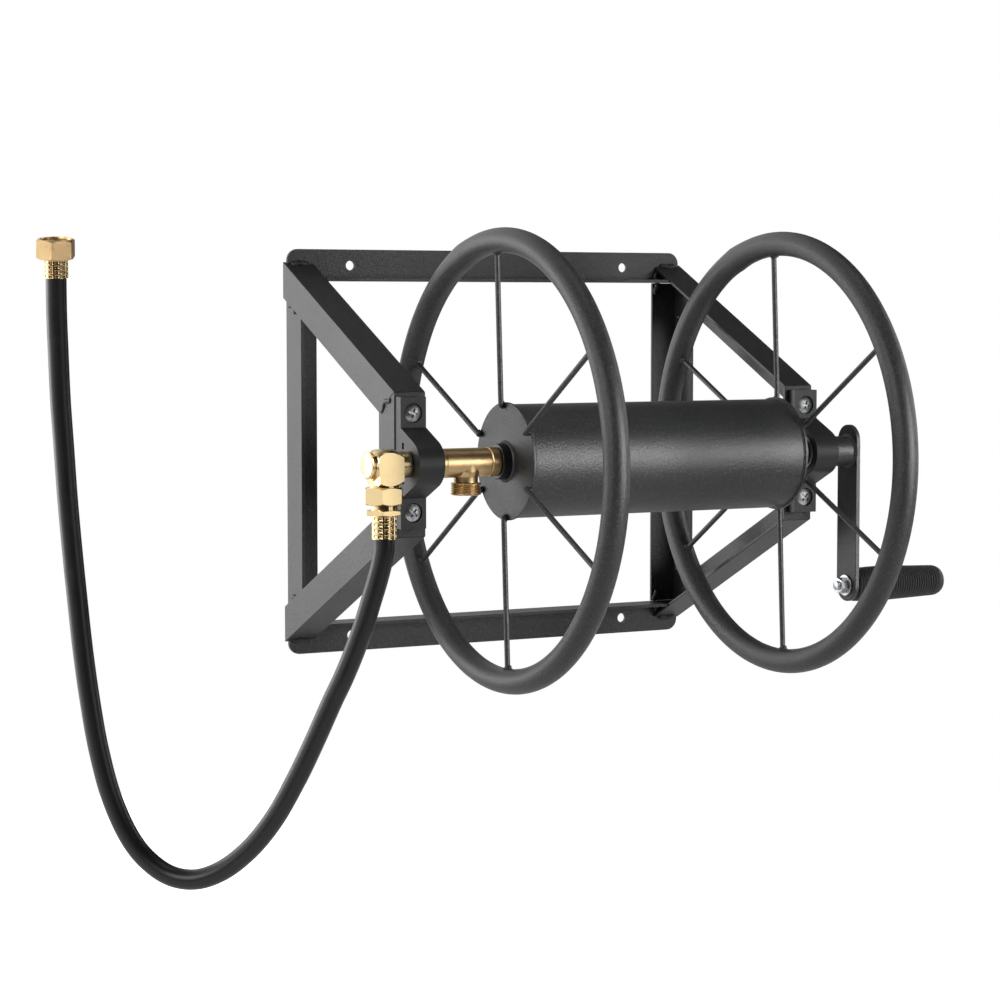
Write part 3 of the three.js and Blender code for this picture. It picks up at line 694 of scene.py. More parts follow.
def bearing(side_name):
    """Moulded pillow block: screw pads, gussets to the nose, bore and core-outs."""
    node = f"{side_name}_bearing"
    lo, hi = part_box(node)
    nose = AXLE.y - lo.y
    back = hi.y - AXLE.y
    half = (hi.z - lo.z) / 2
    pad_front = back - 10 * MM
    pad_edge = half - 26.5 * MM
    turn = degrees(atan2(pad_edge, pad_front) + acos(nose / hypot(pad_front, pad_edge)))
    outline = [(back, -half), (back, half), (pad_front, half), (pad_front, pad_edge)]
    outline += arc((0, 0), nose, turn, 360 - turn, 40)
    outline += [(pad_front, -pad_edge), (pad_front, -half)]
    body = prism(f"{side_name}_bearing_block", outline, lo.x, hi.x, AXLE_LINE)
    tools = [rod("bore", JOURNAL_BORE, lo.x - 0.01, hi.x + 0.01, AXLE_LINE)]
    screw_x = (lo.x + hi.x) / 2
    seat_r, shank_r, seat_depth = 8.5 * MM, 3.2 * MM, 3 * MM
    for up, level in ((1, "upper"), (-1, "lower")):
        screw_z = middle(f"{side_name}_{level}_screw").z
        seat = along_axis("y", (screw_x, AXLE.y + pad_front, screw_z))
        tools.append(turned("recess", [
            (0, -0.004), (seat_r, -0.004), (seat_r, seat_depth), (shank_r, seat_depth),
            (shank_r, 0.02), (0, 0.02)], seat, 64))
        slot_z = AXLE.z + up * 15 * MM
        for x in (lo.x, hi.x):
            tools.append(block("slot", (x - 3 * MM, hi.y - 16 * MM, slot_z - 2.8 * MM),
                               (x + 3 * MM, hi.y - 12.4 * MM, slot_z + 2.8 * MM)))
    cut(body, *tools)
    soften(body, 0.7 * MM, 3)
    return finished(body, "black_plastic", "frame", node)


def truss_screw(side_name, level):
    """Truss-head screw with a cross recess."""
    node = f"{side_name}_{level}_screw"
    lo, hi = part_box(node)
    centre = middle(node)
    head, rise, crown = (hi.x - lo.x) / 2, 3.4 * MM, 1.5 * MM
    shank, point, reach = 2.9 * MM, 0.5 * MM, hi.y - lo.y
    profile = [(head * i / 10, crown * (i / 10) ** 2) for i in range(11)]
    profile += [(head, rise), (shank, rise), (shank, reach - point), (shank - point, reach),
                (0, reach)]
    screw = turned(f"{node}_zinc", profile, along_axis("y", (centre.x, lo.y, centre.z)), 64)
    turn = Matrix.Rotation(radians(18 if level == "upper" else 40), 4, "Y")
    long, short, deep = 4.4 * MM, 0.95 * MM, 2.2 * MM
    arms = []
    for wide, tall in ((long, short), (short, long)):
        arm = block("arm", (-wide, -MM, -tall), (wide, deep, tall))
        arm.data.transform(Matrix.Translation((centre.x, lo.y, centre.z)) @ turn)
        arms.append(arm)
    cut(screw, *arms)
    soften(screw, 0.2 * MM, 2, 40)
    return finished(screw, "zinc_plate", "frame", node)


def strap_nut(side_name, level):
    """Plain hexagonal nut on the back of the strap."""
    node = f"{side_name}_{level}_nut"
    lo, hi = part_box(node)
    centre = middle(node)
    where = along_axis("y", (centre.x, lo.y, centre.z))
    nut = hex_bar(f"{node}_zinc", 10 * MM, hi.y - lo.y, where)
    cut(nut, rod("hole", 3.2 * MM, -MM, 20 * MM, where, 48))
    return finished(nut, "zinc_plate", "frame", node)


# ---- Reel -------------------------------------------------------------------------


def ring(side_name):
    """A rolled tube ring with its butt weld dressed to a faint band."""
    node = f"{side_name}_ring"
    lo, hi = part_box(node)
    tube = (hi.x - lo.x) / 2
    radius = (hi.z - lo.z) / 2 - tube
    sides = shape_values().ring_sides
    weld_at, weld_reach = 1.2, 0.2

    def band(turn):
        def at(angle):
            away = min(abs(angle - weld_at), weld_reach) / weld_reach
            swell = 1 + 0.035 * (1 - away) ** 2 * (3 - 2 * away)
            return radius + tube * swell * cos(turn)
        return at

    profile = [(band(tau * i / 36), tube * sin(tau * i / 36)) for i in range(36)]
    shape = turned(f"{node}_tube", profile,
                   along_axis("x", (middle(node).x, AXLE.y, AXLE.z)), sides)
    return finished(shape, "powder_coat", "reel", node, smooth=60)


def spoke_line(side_name, number):
    """The two ends of a spoke, from the CAD bar's own box and tilt."""
    mesh = frame["nodes"][f"{side_name}_spoke_{number}"].data
    ends = sorted(((v.co - Vector((v.co.x, AXLE.y, AXLE.z))).length, i)
                  for i, v in enumerate(mesh.vertices))
    half = len(ends) // 2
    inner = sum((mesh.vertices[i].co for _, i in ends[:half]), Vector()) / half
    outer = sum((mesh.vertices[i].co for _, i in ends[half:]), Vector()) / (len(ends) - half)
    return inner, outer


def spokes(side_name):
    """Six round bars, and a spot of weld at each of their ends."""
    spots = []
    plane = middle(f"{side_name}_spoke_1").x
    inwards = 1 if side_name == "left" else -1
    r, nib = 2.4 * MM, 0.6 * MM
    for number in range(1, 7):
        node = f"{side_name}_spoke_{number}"
        inner, outer = spoke_line(side_name, number)
        inner.x = outer.x = plane
        run = outer - inner
        ahead = run.normalized()
        turn = Vector((0, 0, 1)).rotation_difference(run).to_matrix().to_4x4()
        far = run.length + 0.8 * MM
        bar = turned(f"{node}_bar", [(0, 0), (r - nib, 0), (r, nib), (r, far), (0, far)],
                     Matrix.Translation(inner) @ turn, 24)
        finished(bar, "powder_coat", "reel", node, smooth=50)
        rim = outer + ahead * 0.6 * MM
        foot = inner + ahead * 1.6 * MM + Vector((inwards * MM, 0, 0))
        edge = inner + ahead * 4.3 * MM + Vector((inwards * 1.6 * MM, 0, 0))
        for place, radii, seed in (
                (rim, (4.3, 4.3, 2.6), number),
                (rim + turn @ Vector((0.6, 1.4, -1.8)) * MM, (2.6, 2.3, 2.4), number + 3),
                (foot, (1.9, 2.6, 2.8), number + 5),
                (edge, (1.6, 2.8, 1.6), number + 8)):
            spots.append(blob(place, Vector(radii) * MM, turn, seed))
    welds = gather(f"{side_name}_spoke_welds", spots)
    return finished(welds, "powder_coat", "reel", smooth=70)


def drum():
    """Rolled drum between two laser-cut discs, with a weld fillet at each."""
    edge = 0.35 * MM
    for side_name in SIDES:
        node = f"{side_name}_drum_disc"
        lo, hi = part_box(node)
        rim = (hi.z - lo.z) / 2
        disc = turned(f"{node}_plate", [
            (JOURNAL_BORE, lo.x), (rim - edge, lo.x), (rim, lo.x + edge), (rim, hi.x - edge),
            (rim - edge, hi.x), (JOURNAL_BORE, hi.x)], AXLE_LINE, 144)
        finished(disc, "powder_coat", "reel", node)
    lo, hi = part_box("drum_tube")
    radius = (hi.z - lo.z) / 2
    left, right = high("left_drum_disc").x, low("right_drum_disc").x
    leg, wall = 1.5 * MM, 1.6 * MM

    def fillet(angle):
        return radius + leg * (0.55 + 0.2 * sin(46 * angle) + 0.1 * sin(71 * angle + 1))

    tube = turned("drum_skin", [
        (radius - wall, left), (fillet, left), (radius + 0.4 * leg, left + 0.6 * leg),
        (radius, left + leg), (radius, right - leg), (radius + 0.4 * leg, right - 0.6 * leg),
        (fillet, right), (radius - wall, right)], AXLE_LINE, 240)
    finished(tube, "powder_coat", "reel", "drum_tube", smooth=40)


def threads(radius, depth, start, end, pitch):
    """Rows of a helical thread, faded out at both ends."""
    rows = []
    count = int((end - start) / pitch * 12)
    for i in range(count + 1):
        along = start + (end - start) * i / count
        fade = min(1.0, (along - start) / pitch * 1.4, (end - along) / pitch * 1.4)

        def at(angle, along=along, fade=fade):
            phase = (along / pitch - angle / tau) % 1.0
            ridge = abs(2 * phase - 1)
            return radius - depth * fade * min(1.0, max(0.0, (ridge - 0.12) / 0.76))
        rows.append((at, along))
    return rows


def water_tee():
    """Cast tee: journal, body with turned rings, and the threaded outlet below."""
    lo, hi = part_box("water_tee")
    left = high("left_bearing").x + GAP
    right = low("tee_collar").x - GAP
    body, nib, groove = 12.8 * MM, 0.6 * MM, 0.45 * MM
    rib = right - 8 * MM
    tee = turned("water_tee_cast", [
        (0, lo.x), (JOURNAL - nib, lo.x), (JOURNAL, lo.x + nib), (JOURNAL, left),
        (body - 0.5 * MM, left), (body, left + 0.5 * MM), (body, left + 5.6 * MM),
        (body - groove, left + 6 * MM), (body - groove, left + 6.5 * MM),
        (body - 0.1 * MM, left + 7 * MM), (body - 0.1 * MM, rib - 1.9 * MM),
        (body - 0.8 * MM, rib - 1.3 * MM), (body - 0.8 * MM, rib - 0.5 * MM),
        (body, rib + 0.2 * MM), (body, right - nib), (body - nib, right),
        (JOURNAL, right), (JOURNAL, hi.x), (0, hi.x)], AXLE_LINE, 96)
    down = along_axis("z", (-162 * MM, AXLE.y, AXLE.z))
    mouth = lo.z - AXLE.z
    neck, thread, waterway = 10.5 * MM, 13.2 * MM, 6.5 * MM
    thread_end = mouth + 10.5 * MM
    profile = [(0, mouth), (thread - 1.6 * MM, mouth)]
    profile += threads(thread, 1.25 * MM, mouth + 0.7 * MM, thread_end - 0.3 * MM,
                       shape_values().thread_pitch)
    profile += [(thread - 0.2 * MM, thread_end), (neck, thread_end + 0.6 * MM),
                (neck, -12.5 * MM), (neck + 0.5 * MM, -11 * MM), (neck + 1.6 * MM, -9 * MM),
                (neck + 2.1 * MM, -7.5 * MM), (neck + 2.1 * MM, -MM), (0, -MM)]
    fuse(tee, turned("outlet", profile, down, 120))
    cut(tee, rod("waterway", waterway, mouth - 0.01, 0, down, 64))
    finished(tee, "satin_brass", "reel", "water_tee", smooth=32)


def tee_collar():
    """Black collar between the tee and the disc, with a raised seat round it."""
    lo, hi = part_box("tee_collar")
    outer = (hi.z - lo.z) / 2
    collar = turned("tee_collar_seal", [
        (JOURNAL_BORE, lo.x), (outer - 1.2 * MM, lo.x), (outer - 0.35 * MM, lo.x + 0.35 * MM),
        (outer, lo.x + 1.2 * MM), (outer, hi.x), (JOURNAL_BORE, hi.x)], AXLE_LINE, 96)
    finished(collar, "black_rubber", "reel", "tee_collar")
    face = low("left_drum_disc").x
    seat = turned("disc_seat", [
        (outer + GAP, face), (outer + GAP, face - 1.3 * MM),
        (outer + 1.1 * MM, face - 1.8 * MM), (outer + 2.1 * MM, face - 1.4 * MM),
        (outer + 2.9 * MM, face - 0.2 * MM), (outer + 2.9 * MM, face)], AXLE_LINE, 96)
    finished(seat, "powder_coat", "reel", smooth=50)
    for node, slot in (("swivel_o_ring_1", "black_rubber"), ("swivel_o_ring_2", "black_rubber"),
                       ("swivel_snap_ring", "zinc_plate")):
        dress(node, slot)


# ---- Swivel and couplings -----------------------------------------------------------


def swivel_elbow():
    """Square brass block with turned corners, journal socket, spigot and end cap."""
    lo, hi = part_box("swivel_elbow")
    half = (hi.y - lo.y) / 2
    left, right, socket_end = lo.x, lo.x + 2 * half, hi.x
    centre_x = (left + right) / 2
    upright = along_axis("z", (centre_x, AXLE.y, AXLE.z))
    top, bottom = 13.5 * MM, -18.5 * MM
    corner, wide = half * sqrt(2), 28 * MM
    elbow = block("swivel_elbow_brass", (left, AXLE.y - half, AXLE.z + bottom),
                  (right, AXLE.y + half, AXLE.z + top))
    limits = [
        turned("limit", [
            (0, bottom), (half - 2 * MM, bottom), (half, bottom + MM),
            (corner, bottom + 5.4 * MM), (corner, top - 7.2 * MM), (half, top - 2.6 * MM),
            (half - 2.4 * MM, top - MM), (half - 5.4 * MM, top), (0, top)], upright, 96),
        turned("limit", [
            (0, left), (half - 0.2 * MM, left), (half - 0.2 * MM, left + 1.6 * MM),
            (half + 0.6 * MM, left + 2.4 * MM), (wide, left + 2.4 * MM + (wide - half) * 0.14),
            (wide, right), (0, right)], AXLE_LINE, 96)]
    combine(elbow, limits, "INTERSECT")
    soften(elbow, 0.5 * MM, 3, 22)
    socket_r, nib, plug_depth = 11.5 * MM, 0.6 * MM, 6 * MM
    socket = turned("socket", [
        (0, right - 2 * MM), (socket_r, right - 2 * MM), (socket_r, socket_end - nib),
        (socket_r - nib, socket_end), (0, socket_end)], AXLE_LINE, 96)
    spigot = rod("spigot", 12.7 * MM, lo.z - AXLE.z, bottom + 2 * MM, upright, 64)
    fuse(elbow, socket, spigot)
    cut(elbow, turned("bore", [
        (0, left - 0.01), (10.5 * MM, left - 0.01), (10.5 * MM, left + plug_depth),
        (JOURNAL_BORE, left + plug_depth), (JOURNAL_BORE, socket_end + 0.01),
        (0, socket_end + 0.01)], AXLE_LINE, 96))
    finished(elbow, "polished_brass", "frame", "swivel_elbow", smooth=30)
    lo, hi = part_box("elbow_end_cap")
    rim = (hi.z - lo.z) / 2
    plug, groove = rim - 1.8 * MM, rim - 0.6 * MM
    cap = turned("elbow_cap_brass", [
        (0, lo.x), (rim - 2.6 * MM, lo.x), (rim - MM, lo.x + 0.5 * MM), (rim, lo.x + 1.5 * MM),
        (rim, lo.x + 2.1 * MM), (groove, lo.x + 2.3 * MM), (groove, lo.x + 2.7 * MM),
        (rim, lo.x + 2.9 * MM), (rim, lo.x + 3.4 * MM), (plug, lo.x + 3.5 * MM), (plug, hi.x),
        (0, hi.x)], AXLE_LINE, 96)
    finished(cap, "polished_brass", "frame", "elbow_end_cap")


def crimped(radius, across, top, rows, around):
    """Rows of a ferrule's outer face, pressed in rectangular dents."""
    depth = 0.85 * MM
    steps = 14 * rows
    profile = []
    for i in range(steps + 1):
        along = top * i / steps
        row_phase = abs(((along / top * rows) % 1.0) - 0.5) * 2
        row_in = min(1.0, max(0.0, (0.72 - row_phase) / 0.22))

        def at(angle, row_in=row_in):
            phase = abs(((angle / tau * around) % 1.0) - 0.5) * 2
            side_in = min(1.0, max(0.0, (0.72 - phase) / 0.24))
            return radius - depth * row_in * side_in
        profile.append((at, along))
    return [(across, 0.0)] + profile + [(across, top)]


def coupling(name, where, ferrule_length, nut_base, nut_height, slot, flanged):
    """Hose coupling: ferrule, tail and the nut that turns on it, drawn up from the ferrule."""
    values = shape_values()
    ferrule_r, ferrule_bore = 10.5 * MM, 9.6 * MM
    skin = crimped(ferrule_r, ferrule_bore, ferrule_length, values.crimp_rows, values.crimps_round)
    ferrule = turned(f"{name}_ferrule_brass", skin, where, 192)
    finished(ferrule, "polished_brass", "frame", f"{name}_ferrule", smooth=40)

    top = ferrule_length + GAP
    collar_base = nut_base + 3.3 * MM
    collar_top = collar_base + 2 * MM
    barb, neck, head, waterway = 6 * MM, 8.5 * MM, 11.5 * MM, 4.5 * MM
    tail = turned(f"{name}_tail_brass", [
        (0, GAP), (barb, GAP), (barb, top), (neck, top), (neck, collar_base), (head, collar_base),
        (head, collar_top), (waterway, collar_top), (waterway, top), (0, top)], where, 96)
    if flanged:
        flange = hex_bar("flange", 29 * MM, 4.6 * MM, where @ Matrix.Translation((0, 0, top)),
                         slope=0.35)
        soften(flange, 0.25 * MM, 2)
        shoulder = turned("shoulder", [
            (0, top + MM), (head, top + MM), (head, nut_base - 0.8 * MM),
            (head - 0.5 * MM, nut_base - GAP), (0, nut_base - GAP)], where, 96)
        fuse(tail, flange, shoulder)
    finished(tail, "polished_brass", "frame", f"{name}_hose_tail", smooth=32)

    across = min((high("inlet_nut") - low("inlet_nut"))[:2])
    if not flanged:
        across -= 0.6 * MM
    lift = where @ Matrix.Translation((0, 0, nut_base))
    nut = hex_bar(f"{name}_nut_brass", across, nut_height, lift, slope=0.62)
    soften(nut, 0.3 * MM, 2)
    thread, seat, past = 13.2 * MM, 3 * MM, nut_height + MM
    hollow = [(0, seat), (thread - 0.8 * MM, seat)]
    hollow += threads(thread, 0.9 * MM, 8.8 * MM, nut_height - 0.6 * MM, values.thread_pitch)
    hollow += [(thread + 0.5 * MM, past), (0, past)]
    cut(nut, turned("mouth", hollow, lift, 96), rod("passage", 8.8 * MM, -MM, 4 * MM, lift, 64))
    finished(nut, slot, f"{name}_coupling_nut", f"{name}_nut", smooth=30)
    dress(f"{name}_washer", "black_rubber")


def inlet_place():
    return Matrix.Translation((middle("inlet_nut").x, AXLE.y, low("inlet_ferrule").z))


def tap_place():
    """Foot of the tap coupling's ferrule, with +Z along the hose's end."""
    spin = joint("tap_nut_spin")
    ahead = Vector(spin["axis"]).normalized()
    foot = Vector(spin["pos_m"]) - ahead * (TAP_FERRULE + GAP)
    turn = Vector((0, 0, 1)).rotation_difference(ahead).to_matrix().to_4x4()
    return Matrix.Translation(foot) @ turn


# ---- Leader hose --------------------------------------------------------------------

# Centre line from the end of the inlet's ferrule, listed in millimetres.
HOSE_ROUTE = [
    (0, 0, 0), (0, 0, -8), (-1.5, 1.5, -20), (-4.5, 4.5, -36), (-8.5, 8, -53),
    (-12.5, 11.5, -70), (-17, 15.5, -87), (-22, 20, -104), (-28, 25, -122), (-34, 31, -139),
    (-46, 42, -174.5), (-59, 53.5, -210), (-74.5, 67.5, -246), (-91, 82.5, -273),
    (-110, 100, -293), (-128, 116, -301.5),
    (-145, 131.5, -299), (-160.5, 145.5, -286), (-172, 155.5, -268), (-184, 167, -234.5),
    (-193, 175.5, -191), (-199, 180.5, -147), (-203.5, 184.5, -103), (-207, 187.5, -59),
    (-210.5, 189.5, -15), (-214, 190, 29), (-217, 189.5, 73), (-220.5, 187.5, 117),
    (-223.5, 183.5, 160), (-225.5, 180.5, 190), (-227.5, 175.5, 222.5),
]


def smooth_line(points, steps=8):
    """A centripetal curve through the points."""
    padded = [points[0] * 2 - points[1]] + points + [points[-1] * 2 - points[-2]]
    line = []
    for p0, p1, p2, p3 in zip(padded, padded[1:], padded[2:], padded[3:]):
        t0 = 0.0
        t1 = t0 + sqrt((p1 - p0).length)
        t2 = t1 + sqrt((p2 - p1).length)
        t3 = t2 + sqrt((p3 - p2).length)
        for i in range(steps):
            t = t1 + (t2 - t1) * i / steps
            a1 = (p0 * (t1 - t) + p1 * (t - t0)) / (t1 - t0)
            a2 = (p1 * (t2 - t) + p2 * (t - t1)) / (t2 - t1)
            a3 = (p2 * (t3 - t) + p3 * (t - t2)) / (t3 - t2)
            b1 = (a1 * (t2 - t) + a2 * (t - t0)) / (t2 - t0)
            b2 = (a2 * (t3 - t) + a3 * (t - t1)) / (t3 - t1)
            line.append((b1 * (t2 - t) + b2 * (t - t1)) / (t2 - t1))
    return line + [points[-1]]


def leader_hose():
    """The hose from the swivel's ferrule to the tap coupling."""
    start = Vector((middle("inlet_nut").x, AXLE.y, low("inlet_ferrule").z - GAP))
    line = smooth_line([start + Vector(point) * MM for point in HOSE_ROUTE])
    measured = sum((b - a).length for a, b in zip(line, line[1:]))
    curve = bpy.data.curves.new("leader_hose_line", "CURVE")
    curve.dimensions = "3D"
    spline = curve.splines.new("POLY")
    spline.points.add(len(line) - 1)
    for point, place in zip(spline.points, line):
        point.co = (*place, 1.0)
    curve.bevel_depth = 9 * MM
    curve.bevel_resolution = 10
    curve.use_fill_caps = True
    hose = bpy.data.objects.new("leader_hose_rubber", curve)
    bpy.context.scene.collection.objects.link(hose)
    spline.use_smooth = True
    finished(hose, "black_rubber", "frame", "leader_hose")


# ---- Crank --------------------------------------------------------------------------


def crank_axle():
    """Axle with its shoulder, and the thrust washer at the bearing."""
    lo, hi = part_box("crank_axle")
    shoulder = (hi.z - lo.z) / 2
    face = high("right_drum_disc").x + GAP
    near, far = low("thrust_washer").x, high("thrust_washer").x
    edge, end = 0.5 * MM, near - GAP
    axle = turned("crank_axle_bar", [
        (0, lo.x), (JOURNAL, lo.x), (JOURNAL, face), (shoulder, face), (shoulder, end - edge),
        (shoulder - edge, end), (JOURNAL, end), (JOURNAL, hi.x), (0, hi.x)], AXLE_LINE, 96)
    finished(axle, "powder_coat", "reel", "crank_axle")
    rim = (high("thrust_washer").z - low("thrust_washer").z) / 2
    nib = 0.3 * MM
    disc = turned("thrust_washer_zinc", [
        (JOURNAL_BORE, near), (rim - nib, near), (rim, near + nib), (rim, far - nib),
        (rim - nib, far), (JOURNAL_BORE, far)], AXLE_LINE, 96)
    finished(disc, "zinc_plate", "reel", "thrust_washer")


def crank_arm():
    """Flat bar with round ends, welded to its hub."""
    lo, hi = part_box("crank_arm")
    half = (hi.y - lo.y) / 2
    inner = hi.x - 4.5 * MM
    top = hi.z - AXLE.z - half
    bottom = lo.z - AXLE.z + half
    outline = arc((0, top), half, 0, 180, 28) + arc((0, bottom), half, 180, 360, 28)
    arm = prism("crank_arm_bar", outline, inner, hi.x, AXLE_LINE)
    bolt_line = AXLE_LINE @ Matrix.Translation((0, middle("crank_grip").z - AXLE.z, 0))
    cut(arm, rod("hole", BOLT_BORE, inner - 0.01, hi.x + 0.01, bolt_line, 48))
    soften(arm, 0.7 * MM, 3)
    hub_r, nib = 14 * MM, 0.6 * MM

    def ripple(angle):
        return hub_r + 2.1 * MM * (1 + 0.12 * sin(34 * angle) + 0.06 * sin(53 * angle))

    hub = turned("hub", [
        (JOURNAL_BORE, lo.x), (hub_r - nib, lo.x), (hub_r, lo.x + nib), (hub_r, inner - 2.6 * MM),
        (hub_r + 0.5 * MM, inner - 1.9 * MM), (hub_r + 1.4 * MM, inner - 0.8 * MM),
        (ripple, inner + 0.3 * MM), (JOURNAL_BORE, inner + 0.3 * MM)], AXLE_LINE, 144)
    arm = gather("crank_arm_steel", [arm, hub])
    finished(arm, "powder_coat", "reel", "crank_arm")


def crank_bolt():
    """Bolt of the grip, with its washer and nut on the inside of the arm."""
    lo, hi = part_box("crank_bolt")
    lay = along_axis("x", (0, AXLE.y, middle("crank_grip").z))
    shank, cap, cap_height = 4 * MM, 7 * MM, 5 * MM
    profile = [(0, lo.x), (3.1 * MM, lo.x)]
    profile += threads(shank, 0.6 * MM, lo.x + 0.4 * MM, lo.x + 12 * MM, 1.25 * MM)
    profile += [(shank, hi.x - cap_height), (cap, hi.x - cap_height), (cap, hi.x - 0.8 * MM),
                (cap - 0.8 * MM, hi.x), (0, hi.x)]
    bolt = turned("crank_bolt_zinc", profile, lay, 64)
    finished(bolt, "zinc_plate", "reel", "crank_bolt")
    lo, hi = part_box("crank_bolt_nut")
    where = lay @ Matrix.Translation((0, 0, lo.x))
    nut = hex_bar("crank_bolt_nut_zinc", 13 * MM, hi.x - lo.x, where, spin=0.3)
    cut(nut, rod("hole", BOLT_BORE, -MM, 20 * MM, where, 48))
    soften(nut, 0.25 * MM, 2)
    finished(nut, "zinc_plate", "reel", "crank_bolt_nut")
    lo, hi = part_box("crank_bolt_washer")
    rim = (hi.z - lo.z) / 2
    washer = turned("crank_bolt_washer_zinc", [
        (BOLT_BORE, lo.x), (rim - 0.4 * MM, lo.x), (rim, lo.x + 0.4 * MM), (rim, hi.x - 0.3 * MM),
        (rim - 0.3 * MM, hi.x), (BOLT_BORE, hi.x)], lay, 72)
    finished(washer, "zinc_plate", "reel", "crank_bolt_washer")


def crank_grip():
    """Tapered rubber grip with fine ribs round it and a rounded end."""
    lo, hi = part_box("crank_grip")
    full = (hi.z - lo.z) / 2
    ribs = shape_values().rib_count
    first = lo.x + 1.2 * MM
    reach = hi.x - first
    ribbed_end, rib_depth, rounding = 0.90, 1.5 * MM, 6.2 * MM
    steps = ribs * 8

    def girth(t):
        return full * (0.93 + 0.07 * sin(min(t / 0.3, 1) * pi / 2) - 0.145 * max(0, t - 0.3) / 0.7)

    profile = [(BOLT_BORE, lo.x), (girth(0) - 1.6 * MM, lo.x),
               (girth(0) - 0.5 * MM, lo.x + 0.6 * MM)]
    for i in range(steps + 1):
        t = i / steps * ribbed_end
        crest = abs(sin(pi * ribs * i / steps))
        profile.append((girth(t) - rib_depth * (1 - crest), first + t * reach))
    start = first + ribbed_end * reach
    nose, shoulder = hi.x - start, girth(ribbed_end)
    for degree in range(10, 91, 10):
        a = radians(degree)
        profile.append((shoulder - rounding * (1 - cos(a)), start + nose * sin(a)))
    recess = 8 * MM
    floor = high("crank_bolt").x - 5 * MM - GAP
    profile += [(recess + 0.4 * MM, hi.x), (recess, hi.x - 0.5 * MM), (recess, floor),
                (BOLT_BORE, floor)]
    grip = turned("crank_grip_rubber", profile,
                  along_axis("x", (0, AXLE.y, middle("crank_grip").z)), 96)
    finished(grip, "grip_rubber", "grip", "crank_grip", smooth=60)


# ---- Stage --------------------------------------------------------------------------


def soft_light(name, place, target, size, power, only=None):
    """A soft light panel. Given a collection, it lights nothing else."""
    lamp = bpy.data.lights.new(name, "AREA")
    lamp.shape = "RECTANGLE"
    lamp.size, lamp.size_y = size
    lamp.energy = power
    holder = bpy.data.objects.new(name, lamp)
    holder.location = place
    holder.rotation_euler = (Vector(target) - Vector(place)).to_track_quat("-Z", "Y").to_euler()
    holder.visible_camera = False
    bpy.context.scene.collection.objects.link(holder)
    if only:
        holder.light_linking.receiver_collection = only


def studio_world():
    """White surroundings for the eye; for the surfaces, a white sweep behind the reel."""
    sweep_side = (-0.55, 0.83, 0.0)
    dim, bright = 0.028, 1.7
    board = Board("studio", "worlds")
    facing = board.node("ShaderNodeVectorMath", {"operation": "DOT_PRODUCT"}, {
        0: board.node("ShaderNodeTexCoord"), 1: sweep_side}, output="Value")
    around = board.node("ShaderNodeBackground", inputs={
        "Strength": board.clear_of(facing, 0.1, 0.85, dim, bright)})
    seen = board.node("ShaderNodeBackground", inputs={"Color": (1, 1, 1, 1)})
    shown = board.node("ShaderNodeMixShader", inputs={
        0: board.node("ShaderNodeLightPath"), 1: around, 2: seen})
    board.node("ShaderNodeOutputWorld", inputs={"Surface": shown})
    bpy.context.scene.world = board.owner


def stage():
    """Camera, pale floor and soft studio lights."""
    settings = bpy.context.scene.reel_stage
    lens = bpy.data.cameras.new("camera")
    lens.lens = settings.lens
    lens.sensor_width = 36
    camera = bpy.data.objects.new("camera", lens)
    camera.location = settings.eye
    camera.rotation_euler = (settings.pitch, 0, settings.yaw)
    bpy.context.scene.collection.objects.link(camera)
    bpy.context.scene.camera = camera
    bpy.context.scene.view_settings.view_transform = "Standard"

    ground = low("leader_hose").z - settings.floor_drop
    radius, thickness = 1.7, 0.02
    floor = prism("floor", arc((0, -0.2), radius, 0, 354, 59), ground - thickness, ground,
                  Matrix.Identity(4))
    board = Board("pale_floor")
    glow = board.mix(board.node("ShaderNodeLightPath"), (0.10, 0.10, 0.10), (0.92, 0.92, 0.92))
    floor.data.materials.append(board.done(
        Base_Color=board.mix(board.noise(3, 2), (0.86, 0.86, 0.86), (0.90, 0.90, 0.90)),
        Roughness=0.9, Emission_Color=glow, Emission_Strength=1.0))

    target = (0, -0.2, -0.17)      # the middle of the reel, near enough
    soft_light("key", (-2.3, -1.0, 0.7), target, (1.2, 1.2), settings.key_power)
    soft_light("top", (0.1, -0.4, 1.9), target, (1.4, 1.0), settings.top_power)
    soft_light("fill", (1.35, -2.6, 0.0), target, (1.7, 1.3), settings.fill_power)
    for name, power in ((REEL_LIT, settings.front_power), (FRAME_LIT, settings.frame_power)):
        soft_light(name, (1.35, -2.6, 0.12), target, (1.5, 1.0), power,
                   bpy.data.collections.new(name))
    soft_light("rim", (2.2, -0.2, 0.3), target, (0.8, 1.6), settings.rim_power)
    soft_light("sweep", (-1.7, 1.5, 0.1), target, (1.2, 1.6), settings.sweep_power)
    studio_world()


# ---- Operators ----------------------------------------------------------------------


class REEL_OT_frame(bpy.types.Operator):
    """Builds the angle-iron wall frame and its brackets"""

    bl_idname = "hose_reel.frame"
    bl_label = "Wall Frame"

    def execute(self, context):
        rail("top", 1)
        rail("bottom", -1)
        for side_name in SIDES:
            for part in ("post", "upper_arm", "front_strap", "lower_arm"):
                steel_copy(f"{side_name}_{part}")
        return {"FINISHED"}


class REEL_OT_frame_welds(bpy.types.Operator):
    """Lays the weld beads on the brackets"""

    bl_idname = "hose_reel.frame_welds"
    bl_label = "Frame Welds"

    def execute(self, context):
        for side_name in SIDES:
            bracket_welds(side_name)
        return {"FINISHED"}


class REEL_OT_bearings(bpy.types.Operator):
    """Builds the two bearing blocks"""

    bl_idname = "hose_reel.bearings"
    bl_label = "Bearings"

    def execute(self, context):
        for side_name in SIDES:
            bearing(side_name)
        return {"FINISHED"}


